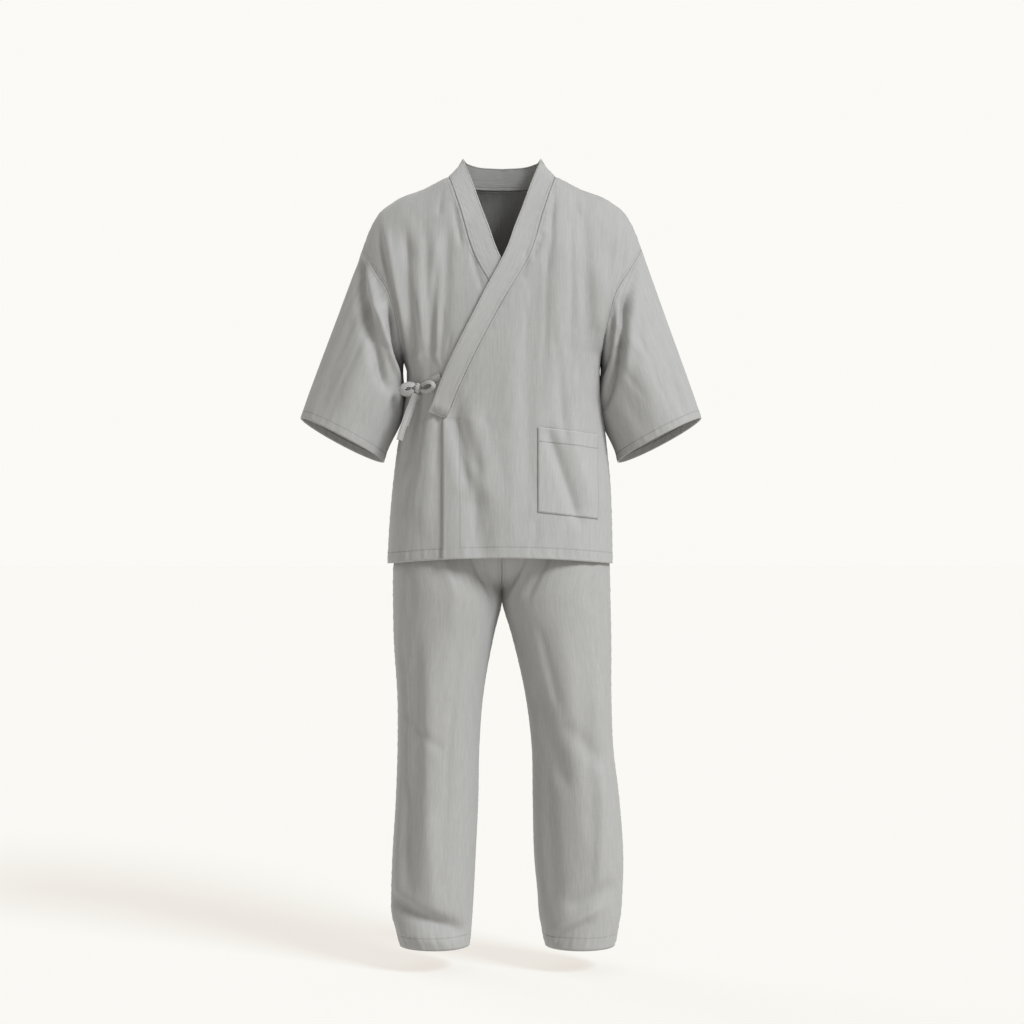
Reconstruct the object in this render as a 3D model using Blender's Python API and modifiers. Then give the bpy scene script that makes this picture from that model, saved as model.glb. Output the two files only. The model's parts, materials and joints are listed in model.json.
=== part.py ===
"""A wrap-front pyjama set: top with band collar, side tie and patch pocket, and straight trousers.

Metres, +Z up. The origin is the middle of the neck at the height of the shoulder line, the front faces -Y,
and the wearer's left is +X. Heights are written as drops: how far a point hangs below the origin.
"""

import math

import bmesh
import bpy
import numpy as np
from mathutils import Vector

# Cloth
WALL = 0.0016
BAND_WALL = 0.0024
TAPE_WALL = 0.0018
SEAM = 0.00015
OVER_LIFT = 0.0040
UNDER_SINK = 0.0012
SHOULDER_GAP = 0.0004
BAND_GAP = 0.00045
BAND_STAND = 0.0016
BACK_NECK_CELLS = 4
FOLD_EDGE = 0.012
FOLD_TOP_LEVEL = 0.25
FOLD_RUN_OUT = 0.12
FOLD_FADE = 0.3
HALVINGS = 32

# Top
NECK_X = 0.0996
SHOULDER_X = 0.262
UNDERARM_DROP = 0.345
TOP_HEM_DROP = 0.712
TOP_HEM_SWAY = 0.012
SECTION_POWER = 2.4
FRONT_ROUND = 2.3
BACK_ROUND = 2.8
BACK_NECK_LEVEL = 0.075
FRONT_EDGE_X = 0.1068
BAND_END_DROP = 0.4566
SLIT_LEVEL = 1.74
SLIT_OPEN = 0.004
ARMHOLE_GAP_ANGLE = 0.00075
LAP_END_X = 0.185
LAP_EASE_X = 0.05
LAP_START_DROP = 0.075
LAP_EASE_DROP = 0.06
LOWER_ROWS_SHARE = 0.42
BETWEEN_ROWS = 3
LEVEL_POWER = 1.7
NECK_ROWS_LEVEL = 0.6
EDGE_SEARCH_X = 0.16
LEVEL_SEARCH = 2.3

# Collar band
BAND_END_SLOPE = -0.43
BAND_END_LONG = 0.03
BAND_STEP = 0.004
BAND_TURN_START = 0.64
BAND_TURN_LONG = 0.16
BAND_LEAST_DROP = 0.02

# Sleeve
CUFF_X = 0.300
CUFF_DROP = 0.493
CUFF_HALF_LONG = 0.0877
CUFF_HALF_DEEP = 0.078
CUFF_TILT = math.atan2(0.080, 0.156)
CUFF_BACK_DROP = 0.15
SLEEVE_SAG = 0.0165
SLEEVE_BELLY = 0.010
SLEEVE_START_TOP = 0.0004
SLEEVE_START_UNDER = 0.0020
SLEEVE_UNDER_SHIFT = 0.0016
SLEEVE_FOLD_START = 0.15

# Pocket
POCKET_INNER_X = 0.0656
POCKET_OUTER_X = 0.1760
POCKET_TOP_DROP = 0.473
POCKET_HIGH = 0.155
POCKET_SLANT = 0.0125
POCKET_LIFT = 0.0027

# Trousers
WAIST_DROP = 0.455
WAISTBAND_HIGH = 0.040
CROTCH_START_DROP = 0.600
CROTCH_DROP = 0.792
LEG_HEM_DROP = 1.442
HIP_POWER = 0.87
LEG_POWER = 0.92
LEG_FOLD_EDGE = 0.06
LEG_FOLD_STRETCH = 4.0
LEG_UPPER_ROWS_SHARE = 0.36
CENTRE_SEAM_GAP = 0.0006

# Tie
TAPE_WIDTH = 0.0115
KNOT_X = -0.1544
KNOT_DROP = 0.400
KNOT_LIFT = 0.0098
KNOT_HALF = (0.0062, 0.0050, 0.0098)
LOOP_REACH = 0.0118
LOOP_RISE = 0.0083
LOOP_TILT = math.radians(36)
LOOP_FORWARD = 0.0012
LOOP_DROOP = 0.0016
SIDE_TAPE_ANGLES = (math.radians(86), math.radians(64))
SIDE_TAPE_DROP = 0.404
SIDE_TAPE_X = -0.17
SIDE_TAPE_LIFT = (0.0024, 0.0030)
KNOT_PINCH = 0.12
KNOT_PINCH_LONG = 0.35
LOOP_STARTS = (("outer", -1, 0.46), ("inner", 1, 0.38))


def table(columns, *rows):
    """The rows of a small table as one array for each named column."""
    return dict(zip(columns.split(), np.array(rows, float).T))


SHOULDER_LINE = table(
    "out drop",
    (0.000, -0.012),
    (0.060, -0.008),
    (0.100, 0.000),
    (0.145, 0.022),
    (0.205, 0.048),
    (0.235, 0.075),
    (0.250, 0.104),
    (0.262, 0.137),
)

# Level 0 is the shoulder line, 1 the underarm and 2 the hem. Share is the depth that the armhole keeps.
BODY = table(
    "level left right share front back",
    (0.00, 0.262, 0.262, 0.60, 0.122, 0.127),
    (0.20, 0.238, 0.238, 0.70, 0.122, 0.128),
    (0.40, 0.212, 0.212, 0.76, 0.122, 0.128),
    (0.60, 0.199, 0.199, 0.70, 0.122, 0.128),
    (0.80, 0.191, 0.191, 0.55, 0.122, 0.127),
    (0.93, 0.187, 0.187, 0.30, 0.122, 0.126),
    (1.00, 0.1845, 0.1845, 0.0, 0.122, 0.125),
    (1.05, 0.1782, 0.1785, 0.0, 0.1215, 0.123),
    (1.12, 0.1788, 0.1795, 0.0, 0.121, 0.121),
    (1.23, 0.1830, 0.1850, 0.0, 0.120, 0.119),
    (1.42, 0.1950, 0.1960, 0.0, 0.121, 0.121),
    (1.61, 0.2040, 0.2030, 0.0, 0.125, 0.127),
    (1.83, 0.2110, 0.2060, 0.0, 0.129, 0.134),
    (2.00, 0.2140, 0.2070, 0.0, 0.131, 0.138),
)

# Where the band is sewn to a front: positive is the side that the band starts on.
NECK_SEAM = table(
    "drop out",
    (0.000, 0.0996),
    (0.070, 0.0770),
    (0.153, 0.0515),
    (0.251, -0.0040),
    (0.345, -0.0530),
    (0.407, -0.0820),
    (0.4566, -0.1030),
)

BAND_WIDTH = table(
    "drop width",
    (0.000, 0.0430),
    (0.150, 0.0430),
    (0.260, 0.0385),
    (0.400, 0.0370),
    (0.4566, 0.0345),
)

# The band's free edge round the neck, by station: 0 its lower end, 1 the shoulder, 1.5 mid back.
BAND_NECK = table(
    "station out front drop",
    (0.70, 0.0180, 0.1010, 0.1180),
    (0.80, 0.0360, 0.0830, 0.0700),
    (0.90, 0.0540, 0.0520, 0.0170),
    (1.00, 0.0714, -0.0020, -0.0320),
    (1.15, 0.0660, -0.0380, -0.0330),
    (1.30, 0.0440, -0.0560, -0.0290),
    (1.50, 0.0000, -0.0620, -0.0270),
)

# Soft folds of the top: a line in the front view, its half width, and how far it rises or sinks.
FRONT_FOLDS = table(
    "x0 drop0 x1 drop1 half rise",
    (-0.150, 0.090, -0.135, 0.330, 0.013, -0.0055),
    (-0.122, 0.120, -0.118, 0.350, 0.012, 0.0045),
    (-0.100, 0.110, -0.112, 0.360, 0.011, -0.0045),
    (-0.172, 0.160, -0.155, 0.380, 0.013, 0.0055),
    (-0.150, 0.420, -0.180, 0.640, 0.014, -0.0065),
    (-0.128, 0.430, -0.142, 0.660, 0.014, 0.0045),
    (-0.085, 0.420, -0.040, 0.560, 0.012, -0.0050),
    (0.020, 0.330, 0.010, 0.690, 0.022, 0.0035),
    (0.060, 0.180, 0.045, 0.430, 0.020, -0.0035),
    (0.110, 0.100, 0.100, 0.400, 0.018, 0.0040),
    (0.150, 0.080, 0.160, 0.330, 0.013, -0.0050),
    (0.178, 0.170, 0.181, 0.400, 0.022, 0.0090),
)
BACK_FOLDS = table(
    "x0 drop0 x1 drop1 half rise",
    (-0.160, 0.110, -0.135, 0.420, 0.015, -0.0055),
    (-0.110, 0.150, -0.120, 0.520, 0.018, 0.0050),
    (-0.055, 0.120, -0.060, 0.480, 0.020, -0.0040),
    (0.010, 0.200, 0.000, 0.640, 0.022, 0.0040),
    (0.065, 0.110, 0.075, 0.450, 0.018, -0.0045),
    (0.120, 0.140, 0.125, 0.560, 0.018, 0.0055),
    (0.165, 0.100, 0.145, 0.400, 0.015, -0.0055),
    (-0.080, 0.480, -0.095, 0.700, 0.018, -0.0050),
    (0.090, 0.500, 0.085, 0.700, 0.018, -0.0050),
)

# A sleeve's folds: round is 0 at the underarm, 0.25 at the front, 0.5 on top; along is 0 at the armhole.
SLEEVE_FOLDS = table(
    "round0 along0 round1 along1 half rise",
    (0.12, 0.05, 0.20, 0.95, 0.035, -0.0065),
    (0.25, 0.02, 0.27, 0.80, 0.035, 0.0050),
    (0.36, 0.10, 0.37, 0.90, 0.032, -0.0045),
    (0.88, 0.05, 0.80, 0.95, 0.035, -0.0065),
    (0.72, 0.02, 0.72, 0.85, 0.035, 0.0050),
    (0.62, 0.10, 0.63, 0.90, 0.032, -0.0040),
)

HIPS = table(
    "drop half front back",
    (0.455, 0.150, 0.106, 0.102),
    (0.500, 0.156, 0.107, 0.106),
    (0.600, 0.180, 0.113, 0.117),
    (0.700, 0.197, 0.117, 0.124),
    (0.792, 0.205, 0.118, 0.124),
)
LEGS = table(
    "drop outer_left inner_left outer_right inner_right front back mid",
    (0.792, 0.2040, 0.0010, 0.2030, 0.0010, 0.106, 0.113, 0.000),
    (0.855, 0.2030, 0.0150, 0.2045, 0.0180, 0.098, 0.105, 0.000),
    (0.985, 0.1955, 0.0376, 0.2050, 0.0470, 0.088, 0.094, 0.000),
    (1.066, 0.1955, 0.0432, 0.2080, 0.0564, 0.081, 0.085, 0.000),
    (1.169, 0.1990, 0.0455, 0.2200, 0.0585, 0.077, 0.081, 0.003),
    (1.285, 0.2060, 0.0510, 0.2275, 0.0620, 0.075, 0.079, 0.006),
    (1.345, 0.2078, 0.0540, 0.2258, 0.0677, 0.074, 0.078, 0.008),
    (1.385, 0.2070, 0.0565, 0.2230, 0.0705, 0.072, 0.076, 0.009),
    (1.412, 0.2000, 0.0585, 0.2180, 0.0755, 0.070, 0.073, 0.010),
    (1.442, 0.1920, 0.0620, 0.2120, 0.0820, 0.067, 0.070, 0.010),
)

# A leg's folds: round is 0 at the side seam and 1 at the inseam.
LEG_FOLDS = table(
    "side back round0 drop0 round1 drop1 half rise",
    (-1, 0, 0.22, 0.86, 0.26, 1.34, 0.060, -0.0060),
    (-1, 0, 0.42, 0.90, 0.45, 1.28, 0.070, 0.0045),
    (-1, 0, 0.12, 1.37, 0.62, 1.40, 0.070, -0.0060),
    (1, 0, 0.55, 1.02, 0.25, 1.10, 0.070, -0.0045),
    (1, 0, 0.50, 0.84, 0.46, 1.30, 0.070, 0.0045),
    (1, 0, 0.20, 1.32, 0.60, 1.36, 0.070, -0.0060),
    (-1, 1, 0.35, 0.90, 0.40, 1.30, 0.070, -0.0050),
    (-1, 1, 0.70, 1.06, 0.25, 1.10, 0.060, -0.0055),
    (1, 1, 0.40, 0.88, 0.36, 1.28, 0.070, -0.0050),
    (1, 1, 0.70, 1.08, 0.25, 1.05, 0.060, -0.0055),
    (-1, 1, 0.15, 1.36, 0.60, 1.39, 0.070, -0.0050),
    (1, 1, 0.15, 1.35, 0.60, 1.38, 0.070, -0.0050),
)


def curve(at, keys, values):
    """A smooth curve through a table's column, held flat past both ends."""
    at = np.clip(at, keys[0], keys[-1])
    slopes = np.gradient(values, keys)
    i = np.clip(np.searchsorted(keys, at, side="right") - 1, 0, len(keys) - 2)
    gap = keys[i + 1] - keys[i]
    t = (at - keys[i]) / gap
    rise = t * t * (3 - 2 * t)
    bend = gap * t * (1 - t) * ((1 - t) * slopes[i] - t * slopes[i + 1])
    return values[i] + (values[i + 1] - values[i]) * rise + bend


def ease(t):
    """0 to 1, level at both ends."""
    t = np.clip(t, 0, 1)
    return t * t * (3 - 2 * t)


def fold_field(folds, x, drop, ends=("x0", "drop0", "x1", "drop1"), stretch=1.0):
    """The rise of all the folds at each point, fading out towards both ends of each."""
    total = np.zeros(np.shape(x))
    for x0, d0, x1, d1, half, rise in zip(*(folds[k] for k in (*ends, "half", "rise"))):
        run, fall = x1 - x0, (d1 - d0) * stretch
        size = run * run + fall * fall
        t = ((x - x0) * run + (drop - d0) * stretch * fall) / size
        off = ((x - x0) * fall - (drop - d0) * stretch * run) / math.sqrt(size)
        fade = ease((t + FOLD_RUN_OUT) / FOLD_FADE) * ease((1 + FOLD_RUN_OUT - t) / FOLD_FADE)
        total = total + rise * fade * np.exp(-((off / half) ** 2))
    return total


# The body of the top


def shoulder_drop(out):
    return curve(np.abs(out), SHOULDER_LINE["out"], SHOULDER_LINE["drop"])


def edge_out(level, side):
    """How far out a panel reaches at a level: the armhole, and below it the side seam."""
    name = "right" if side > 0 else "left"
    return curve(level, BODY["level"], BODY[name])


def half_width(level, side):
    """The half width of the whole section that the armhole is cut from."""
    share = curve(level, BODY["level"], BODY["share"])
    cut = (1 - np.clip(share, 0, 1) ** SECTION_POWER) ** (1 / SECTION_POWER)
    return edge_out(level, side) / cut


def half_depth(level, back):
    rounding = BACK_ROUND if back else FRONT_ROUND
    top = np.clip(1 - level, 0, 1) ** rounding
    deep = curve(level, BODY["level"], BODY["back" if back else "front"])
    return deep * (1 - top) ** (1 / rounding)


def drop_at(level, x, side):
    reach = edge_out(np.minimum(level, 1.0), side)
    top = shoulder_drop(np.abs(x) * SHOULDER_X / reach)
    upper = top + (UNDERARM_DROP - top) * np.minimum(level, 1.0)
    share = np.clip(np.abs(x) / edge_out(level, side), 0, 1)
    hem = TOP_HEM_DROP + TOP_HEM_SWAY * share**2
    lower = UNDERARM_DROP + (hem - UNDERARM_DROP) * (level - 1)
    return np.where(level < 1, upper, lower)


def level_at(x, drop, side):
    """The level that passes a point of the front view, found by halving."""
    low = np.zeros(np.shape(x))
    high = np.full(np.shape(x), LEVEL_SEARCH)
    for _ in range(HALVINGS):
        middle = (low + high) / 2
        above = drop_at(middle, x, side) < drop
        low = np.where(above, middle, low)
        high = np.where(above, high, middle)
    return (low + high) / 2


def by_side(x, left, right):
    return np.where(x > 0, right, left)


def body_point(level, x, back=False, lift=0.0):
    """A point of the top's body, with its folds, at a level and a place across."""
    wide = by_side(x, half_width(level, -1), half_width(level, 1))
    deep = half_depth(level, back)
    drop = by_side(x, drop_at(level, x, -1), drop_at(level, x, 1))
    share = np.clip(np.abs(x) / wide, 0, 1)
    rest = (1 - share**SECTION_POWER) ** (1 / SECTION_POWER)
    turn_x = np.sign(x) * share ** (SECTION_POWER - 1) / wide
    turn_y = -(rest ** (SECTION_POWER - 1)) / np.maximum(deep, 0.02)
    length = np.hypot(turn_x, turn_y)
    folds = fold_field(BACK_FOLDS if back else FRONT_FOLDS, x, drop)
    edge = by_side(x, edge_out(level, -1), edge_out(level, 1))
    held = ease((edge - np.abs(x)) / FOLD_EDGE) * ease(level / FOLD_TOP_LEVEL)
    out = folds * held + lift
    y = -deep * rest + out * turn_y / length
    return np.stack([x + out * turn_x / length, -y if back else y, -drop], axis=-1)


def lap_lift(x, drop, over):
    """How far the over front stands off, and the under front sinks in, where they lap."""
    toward = x if over else -x
    zone = ease((LAP_END_X - toward) / LAP_EASE_X) * ease((drop - LAP_START_DROP) / LAP_EASE_DROP)
    return zone * (OVER_LIFT if over else -UNDER_SINK)


def front_point(x, drop, over, extra=0.0):
    """A point of a front at a place in the front view."""
    level = np.where(x > 0, level_at(x, drop, 1), level_at(x, drop, -1))
    return body_point(level, x, lift=lap_lift(x, drop, over) + extra)


def front_edge_out(drop):
    """A front's free edge: the neck seam, and straight down below the band."""
    seam = curve(drop, NECK_SEAM["drop"], NECK_SEAM["out"])
    return np.where(drop > BAND_END_DROP, -FRONT_EDGE_X, np.maximum(seam, -FRONT_EDGE_X))


def shoulder_levels(count):
    """Levels from the shoulder line to the underarm, closer near the top where the cloth turns."""
    return np.linspace(0, 1, count + 1) ** LEVEL_POWER


def to_angle(share):
    return np.arcsin(np.clip(share, 0, 1) ** (SECTION_POWER / 2))


def from_angle(angle):
    return np.sin(angle) ** (2 / SECTION_POWER)


def side_angle(level, side, back):
    """Where a row ends at its side: the armhole, then the side seam, then a little open along the slit."""
    open_by = SLIT_OPEN * ease((level - SLIT_LEVEL) / (2 - SLIT_LEVEL))
    deep = np.maximum(half_depth(level, back), 0.001)
    seam = np.arccos(((SEAM + open_by) / deep) ** (SECTION_POWER / 2))
    armhole = to_angle(edge_out(level, side) / half_width(level, side))
    return np.minimum(seam, armhole - np.where(level < 1, ARMHOLE_GAP_ANGLE, 0))


def across_body(level, start, side, share):
    """Places across from a start to the side edge, spaced by how much the section turns."""
    wide = half_width(level, side)
    first = np.sign(start) * to_angle(np.abs(start) / wide)
    last = side_angle(level, side, False)
    angle = first + (last - first) * share
    return np.sign(angle) * wide * from_angle(np.abs(angle))


def row_start(level, side):
    """Where a front's row begins: its free edge, found by halving. Positive is towards its own side."""
    low = np.full(np.shape(level), -EDGE_SEARCH_X)
    high = np.full(np.shape(level), EDGE_SEARCH_X)
    for _ in range(HALVINGS):
        middle = (low + high) / 2
        across = np.where(middle > 0, side, -side)
        drop = np.where(across > 0, drop_at(level, middle, 1), drop_at(level, middle, -1))
        inside = middle > front_edge_out(drop)
        high = np.where(inside, middle, high)
        low = np.where(inside, low, middle)
    return (low + high) / 2 + SEAM


def front_panel(side, rows):
    """A front's grid function. The over front is the one on +X."""
    over = side > 0
    corner = float(level_at(np.array(-FRONT_EDGE_X), np.array(BAND_END_DROP), -side))
    lower = round(rows * LOWER_ROWS_SHARE)
    below = np.linspace(corner, 2, lower + 1)[1:]
    between = np.linspace(1, corner, BETWEEN_ROWS + 1)[1:]
    levels = np.concatenate([shoulder_levels(rows - lower - BETWEEN_ROWS), between, below])

    def place(u, v):
        level = levels[np.rint(v * rows).astype(int)]
        start = row_start(level, side)
        near = across_body(level, start, side, u)
        x = side * near
        drop = by_side(x, drop_at(level, x, -1), drop_at(level, x, 1))
        point = body_point(level, x, lift=lap_lift(x, drop, over))
        point[:, 1] -= np.where(level == 0, SHOULDER_GAP, 0)
        return point

    return place, levels


def back_neck_level(x):
    return BACK_NECK_LEVEL * np.sqrt(np.clip(1 - (x / NECK_X) ** 2, 0, 1))


def back_panel(rows, columns):
    """The back's grid function: its columns keep to the neck points, and its rows to the armholes."""
    upper = rows // 2
    levels = np.concatenate([shoulder_levels(upper), np.linspace(1, 2, rows - upper + 1)[1:]])
    neck_share = NECK_X / SHOULDER_X
    neck_columns = 2 * BACK_NECK_CELLS
    side_columns = (columns - neck_columns) // 2
    outer = np.linspace(0, 1, side_columns + 1)[1:]
    inner = np.sin(np.linspace(-np.pi / 2, np.pi / 2, neck_columns + 1))

    def place(u, v):
        index = np.rint(u * columns).astype(int) - side_columns
        level = levels[np.rint(v * rows).astype(int)]
        side = np.where(index * 2 > neck_columns, 1, -1)
        wide = np.where(side > 0, half_width(level, 1), half_width(level, -1))
        edge = np.where(side > 0, edge_out(level, 1), edge_out(level, -1)) - SEAM
        neck = neck_share * edge
        inside = (index >= 0) & (index <= neck_columns)
        x_in = inner[np.clip(index, 0, neck_columns)] * neck
        past = np.where(side > 0, index - neck_columns, -index)
        first = to_angle(neck / wide)
        last = np.where(side > 0, side_angle(level, 1, True), side_angle(level, -1, True))
        angle = first + (last - first) * outer[np.clip(past - 1, 0, side_columns - 1)]
        x = np.where(inside, x_in, side * wide * from_angle(angle))
        top = back_neck_level(np.where(inside, x_in * NECK_X / neck, NECK_X))
        raised = top + (2 - top) * level / 2
        near = ease(1 - level / NECK_ROWS_LEVEL)
        low = np.where(inside, level + (raised - level) * near, level)
        point = body_point(low, x, back=True)
        point[:, 1] += np.where(low == 0, SHOULDER_GAP, 0)
        return point

    return place


# Sleeves


def cuff_point(angle, side):
    """The sleeve's open end: a tilted oval, a little lower at the back. Angle 0 is its inner corner."""
    along = CUFF_HALF_LONG * np.cos(angle)
    deep = -CUFF_HALF_DEEP * np.sin(angle)
    x = CUFF_X - along * math.cos(CUFF_TILT)
    z = -CUFF_DROP - along * math.sin(CUFF_TILT) - CUFF_BACK_DROP * np.maximum(deep, 0)
    return np.stack([side * x, deep, z], axis=-1)


def sleeve(side, columns_half, rows):
    """A sleeve's grid function: it starts at the armhole's own levels, so that the seam stays even."""
    levels = shoulder_levels(columns_half)[::-1]
    ring = np.concatenate([levels, levels[::-1][1:]])
    front = np.arange(len(ring)) <= columns_half
    out = edge_out(ring, side)
    share = np.clip(curve(ring, BODY["level"], BODY["share"]), 0, 1)
    share[[0, -1]] = 0
    deep = np.where(front, -half_depth(ring, False), half_depth(ring, True)) * share
    high = -drop_at(ring, out, side)
    arm = np.stack([side * out, deep, high], axis=-1)
    steps = np.linalg.norm(np.diff(arm, axis=0), axis=1)
    around = np.concatenate([[0], np.cumsum(steps)]) / steps.sum()
    half = around[columns_half]
    turn = np.where(front, around / half / 2, 0.5 + (around - half) / (1 - half) / 2)
    gap = SEAM / (np.pi * CUFF_HALF_LONG)
    turn[0], turn[-1] = gap, 1 - gap
    arm[0, 1] -= SEAM
    arm[-1, 1] += SEAM
    cuff = cuff_point(2 * np.pi * turn, side)
    way = (cuff - arm) / np.linalg.norm(cuff - arm, axis=1)[:, None]

    def place(u, v):
        i = np.rint(u * 2 * columns_half).astype(int)
        low = 0.5 + 0.5 * np.cos(2 * np.pi * turn[i])
        start = arm[i] + way[i] * (SLEEVE_START_TOP + SLEEVE_START_UNDER * low)[:, None]
        start[:, 0] += side * SLEEVE_UNDER_SHIFT * low
        point = start + (cuff[i] - start) * v[:, None]
        under = low**2
        point[:, 0] -= side * SLEEVE_SAG * np.sin(np.pi * v) ** 2 * under
        belly = SLEEVE_BELLY * np.sin(np.pi * v) * np.sin(2 * np.pi * turn[i])
        point[:, 1] -= belly
        ends = ("round0", "along0", "round1", "along1")
        folds = fold_field(SLEEVE_FOLDS, turn[i], v, ends, stretch=0.5)
        folds = folds * ease(v / SLEEVE_FOLD_START) * (1 - under)
        toward = np.stack([-np.cos(2 * np.pi * turn[i]) * side, -np.sin(2 * np.pi * turn[i])], -1)
        point[:, :2] += folds[:, None] * toward
        return point

    return place


# Collar band


def band_point(station, share, over):
    """A point of the half band. Station is 0 at its lower end, share is 0 at the seam."""
    side = 1 if over else -1
    seam_drop = BAND_END_DROP * (1 - np.clip(station, 0, 1))
    seam_out = curve(seam_drop, NECK_SEAM["drop"], NECK_SEAM["out"])
    slope = (
        curve(seam_drop + BAND_STEP, NECK_SEAM["drop"], NECK_SEAM["out"])
        - curve(seam_drop - BAND_STEP, NECK_SEAM["drop"], NECK_SEAM["out"])
    ) / (2 * BAND_STEP)
    slope = np.where(seam_drop > BAND_END_DROP - BAND_END_LONG, BAND_END_SLOPE, slope)
    wide = curve(seam_drop, BAND_WIDTH["drop"], BAND_WIDTH["width"]) * share + BAND_GAP
    length = np.sqrt(1 + slope**2)
    flat_x = side * (seam_out - wide / length)
    flat_drop = seam_drop + wide * slope / length
    flat = front_point(flat_x, np.maximum(flat_drop, BAND_LEAST_DROP), over)

    around = np.clip((station - 1) / 0.5, 0, 1)
    back_x = NECK_X * np.cos(around * np.pi / 2)
    back = body_point(back_neck_level(back_x), side * back_x, back=True)
    fore = front_point(side * seam_out, np.maximum(seam_drop, 0.0), over)
    seam = np.where((station > 1)[:, None], back, fore)
    free = np.stack(
        [
            side * curve(station, BAND_NECK["station"], BAND_NECK["out"]),
            -curve(station, BAND_NECK["station"], BAND_NECK["front"]),
            -curve(station, BAND_NECK["station"], BAND_NECK["drop"]),
        ],
        axis=-1,
    )
    up = free - seam
    tall = np.linalg.norm(up, axis=1)[:, None]
    stand = seam + up * (BAND_STAND / tall + (1 - BAND_STAND / tall) * share[:, None])
    mix = ease((station - BAND_TURN_START) / BAND_TURN_LONG)[:, None]
    return flat + (stand - flat) * mix


def band_stations(levels):
    """One half's stations, at the rows of the front that the band is sewn to and the columns of the back."""
    start = row_start(levels, 1) - SEAM
    drop = np.where(start > 0, drop_at(levels, start, 1), drop_at(levels, start, -1))
    front = 1 - drop[drop < BAND_END_DROP + 1e-4][::-1] / BAND_END_DROP
    back = 1 + 0.5 * np.arange(1, BACK_NECK_CELLS + 1) / BACK_NECK_CELLS
    return np.concatenate([np.clip(front, 0, 1), back])


def collar(levels):
    half = band_stations(levels)
    whole = np.concatenate([half, half[::-1][1:]])
    rows = len(whole) - 1

    def place(u, v):
        index = np.rint(v * rows).astype(int)
        over = index < len(half)
        station = whole[index]
        points = np.where(
            over[:, None],
            band_point(station, u, True),
            band_point(station, u, False),
        )
        return points

    return place, rows


# What lies on the fronts


def pocket_point(u, v):
    x = POCKET_INNER_X + (POCKET_OUTER_X - POCKET_INNER_X) * u
    drop = POCKET_TOP_DROP + POCKET_SLANT * u + POCKET_HIGH * v
    return front_point(x, drop, True, extra=POCKET_LIFT)


def tie_depth(x, drop, lift):
    """How far forward a part of the bow sits: clear of the front under it, and level past the knot."""
    beside = np.maximum(x, KNOT_X)
    return front_point(beside, np.full(np.shape(x), drop), False)[:, 1] - lift


def tape(middle, across, start, end):
    """A tape's grid function along a path: middle and across give its centre line and its width."""

    def place(u, v):
        t = start + (end - start) * v
        centre = middle(t)
        return centre + across(t) * (u[:, None] - 0.5) * TAPE_WIDTH

    return place


def loop_middle(way):
    """One loop's centre line: an oval from the knot and back. way is -1 outwards and 1 inwards."""

    def middle(t):
        x = KNOT_X + way * (KNOT_HALF[0] + LOOP_REACH * (1 - np.cos(t)))
        z = -KNOT_DROP + way * LOOP_DROOP * (1 - np.cos(t)) + LOOP_RISE * np.sin(t)
        lift = KNOT_LIFT + LOOP_FORWARD * (1 + way) * (1 - np.cos(t))
        return np.stack([x, tie_depth(x, KNOT_DROP, lift), z], axis=-1)

    return middle


def loop_across(way):
    def across(t):
        out = np.stack([-way * np.cos(t) / LOOP_REACH, 0 * t, np.sin(t) / LOOP_RISE], axis=-1)
        out /= np.linalg.norm(out, axis=1)[:, None]
        return out * math.cos(LOOP_TILT) + np.array([0, math.sin(LOOP_TILT), 0])

    return across


# The tapes' paths: x, how far they stand off the front, drop, and how far the tape leans from upright.
TAPE_FRONT = table(
    "x lift drop lean",
    (-0.1125, 0.0030, 0.3785, 1.15),
    (-0.1220, 0.0030, 0.3830, 1.15),
    (-0.1320, 0.0034, 0.3880, 1.20),
    (-0.1400, 0.0034, 0.3930, 1.25),
    (-0.1476, 0.0034, 0.3970, 1.30),
)
TAIL_FRONT = table(
    "x lift drop lean",
    (-0.1580, 0.0105, 0.4100, 0.35),
    (-0.1640, 0.0110, 0.4250, 0.38),
    (-0.1710, 0.0100, 0.4420, 0.35),
    (-0.1780, 0.0085, 0.4620, 0.30),
    (-0.1840, 0.0075, 0.4800, 0.28),
    (-0.1880, 0.0070, 0.4960, 0.25),
)
TAIL_BEHIND = table(
    "x lift drop lean",
    (-0.1540, 0.0062, 0.4112, 0.30),
    (-0.1612, 0.0060, 0.4240, 0.32),
    (-0.1682, 0.0055, 0.4400, 0.30),
    (-0.1742, 0.0050, 0.4560, 0.26),
    (-0.1782, 0.0040, 0.4690, 0.24),
)


def path_middle(path):
    steps = np.linspace(0, 1, len(path["x"]))

    def middle(t):
        x = curve(t, steps, path["x"])
        drop = curve(t, steps, path["drop"])
        lift = curve(t, steps, path["lift"])
        beside = np.maximum(x, KNOT_X)
        y = front_point(beside, drop, False)[:, 1] - lift
        return np.stack([x, y, -drop], axis=-1)

    return middle


def path_across(path):
    steps = np.linspace(0, 1, len(path["x"]))

    def across(t):
        lean = curve(t, steps, path["lean"])
        return np.stack([np.cos(lean), 0 * lean, -np.sin(lean)], axis=-1)

    return across


def tape_side(u, v):
    """The tape from the side seam round to the back of the knot, lying on the under front."""
    first, last = SIDE_TAPE_ANGLES
    drop = SIDE_TAPE_DROP + (u - 0.5) * TAPE_WIDTH
    level = level_at(np.full(np.shape(drop), SIDE_TAPE_X), drop, -1)
    x = -half_width(level, -1) * from_angle(first + (last - first) * v)
    return body_point(level, x, lift=SIDE_TAPE_LIFT[0] + SIDE_TAPE_LIFT[1] * v**2)


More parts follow.
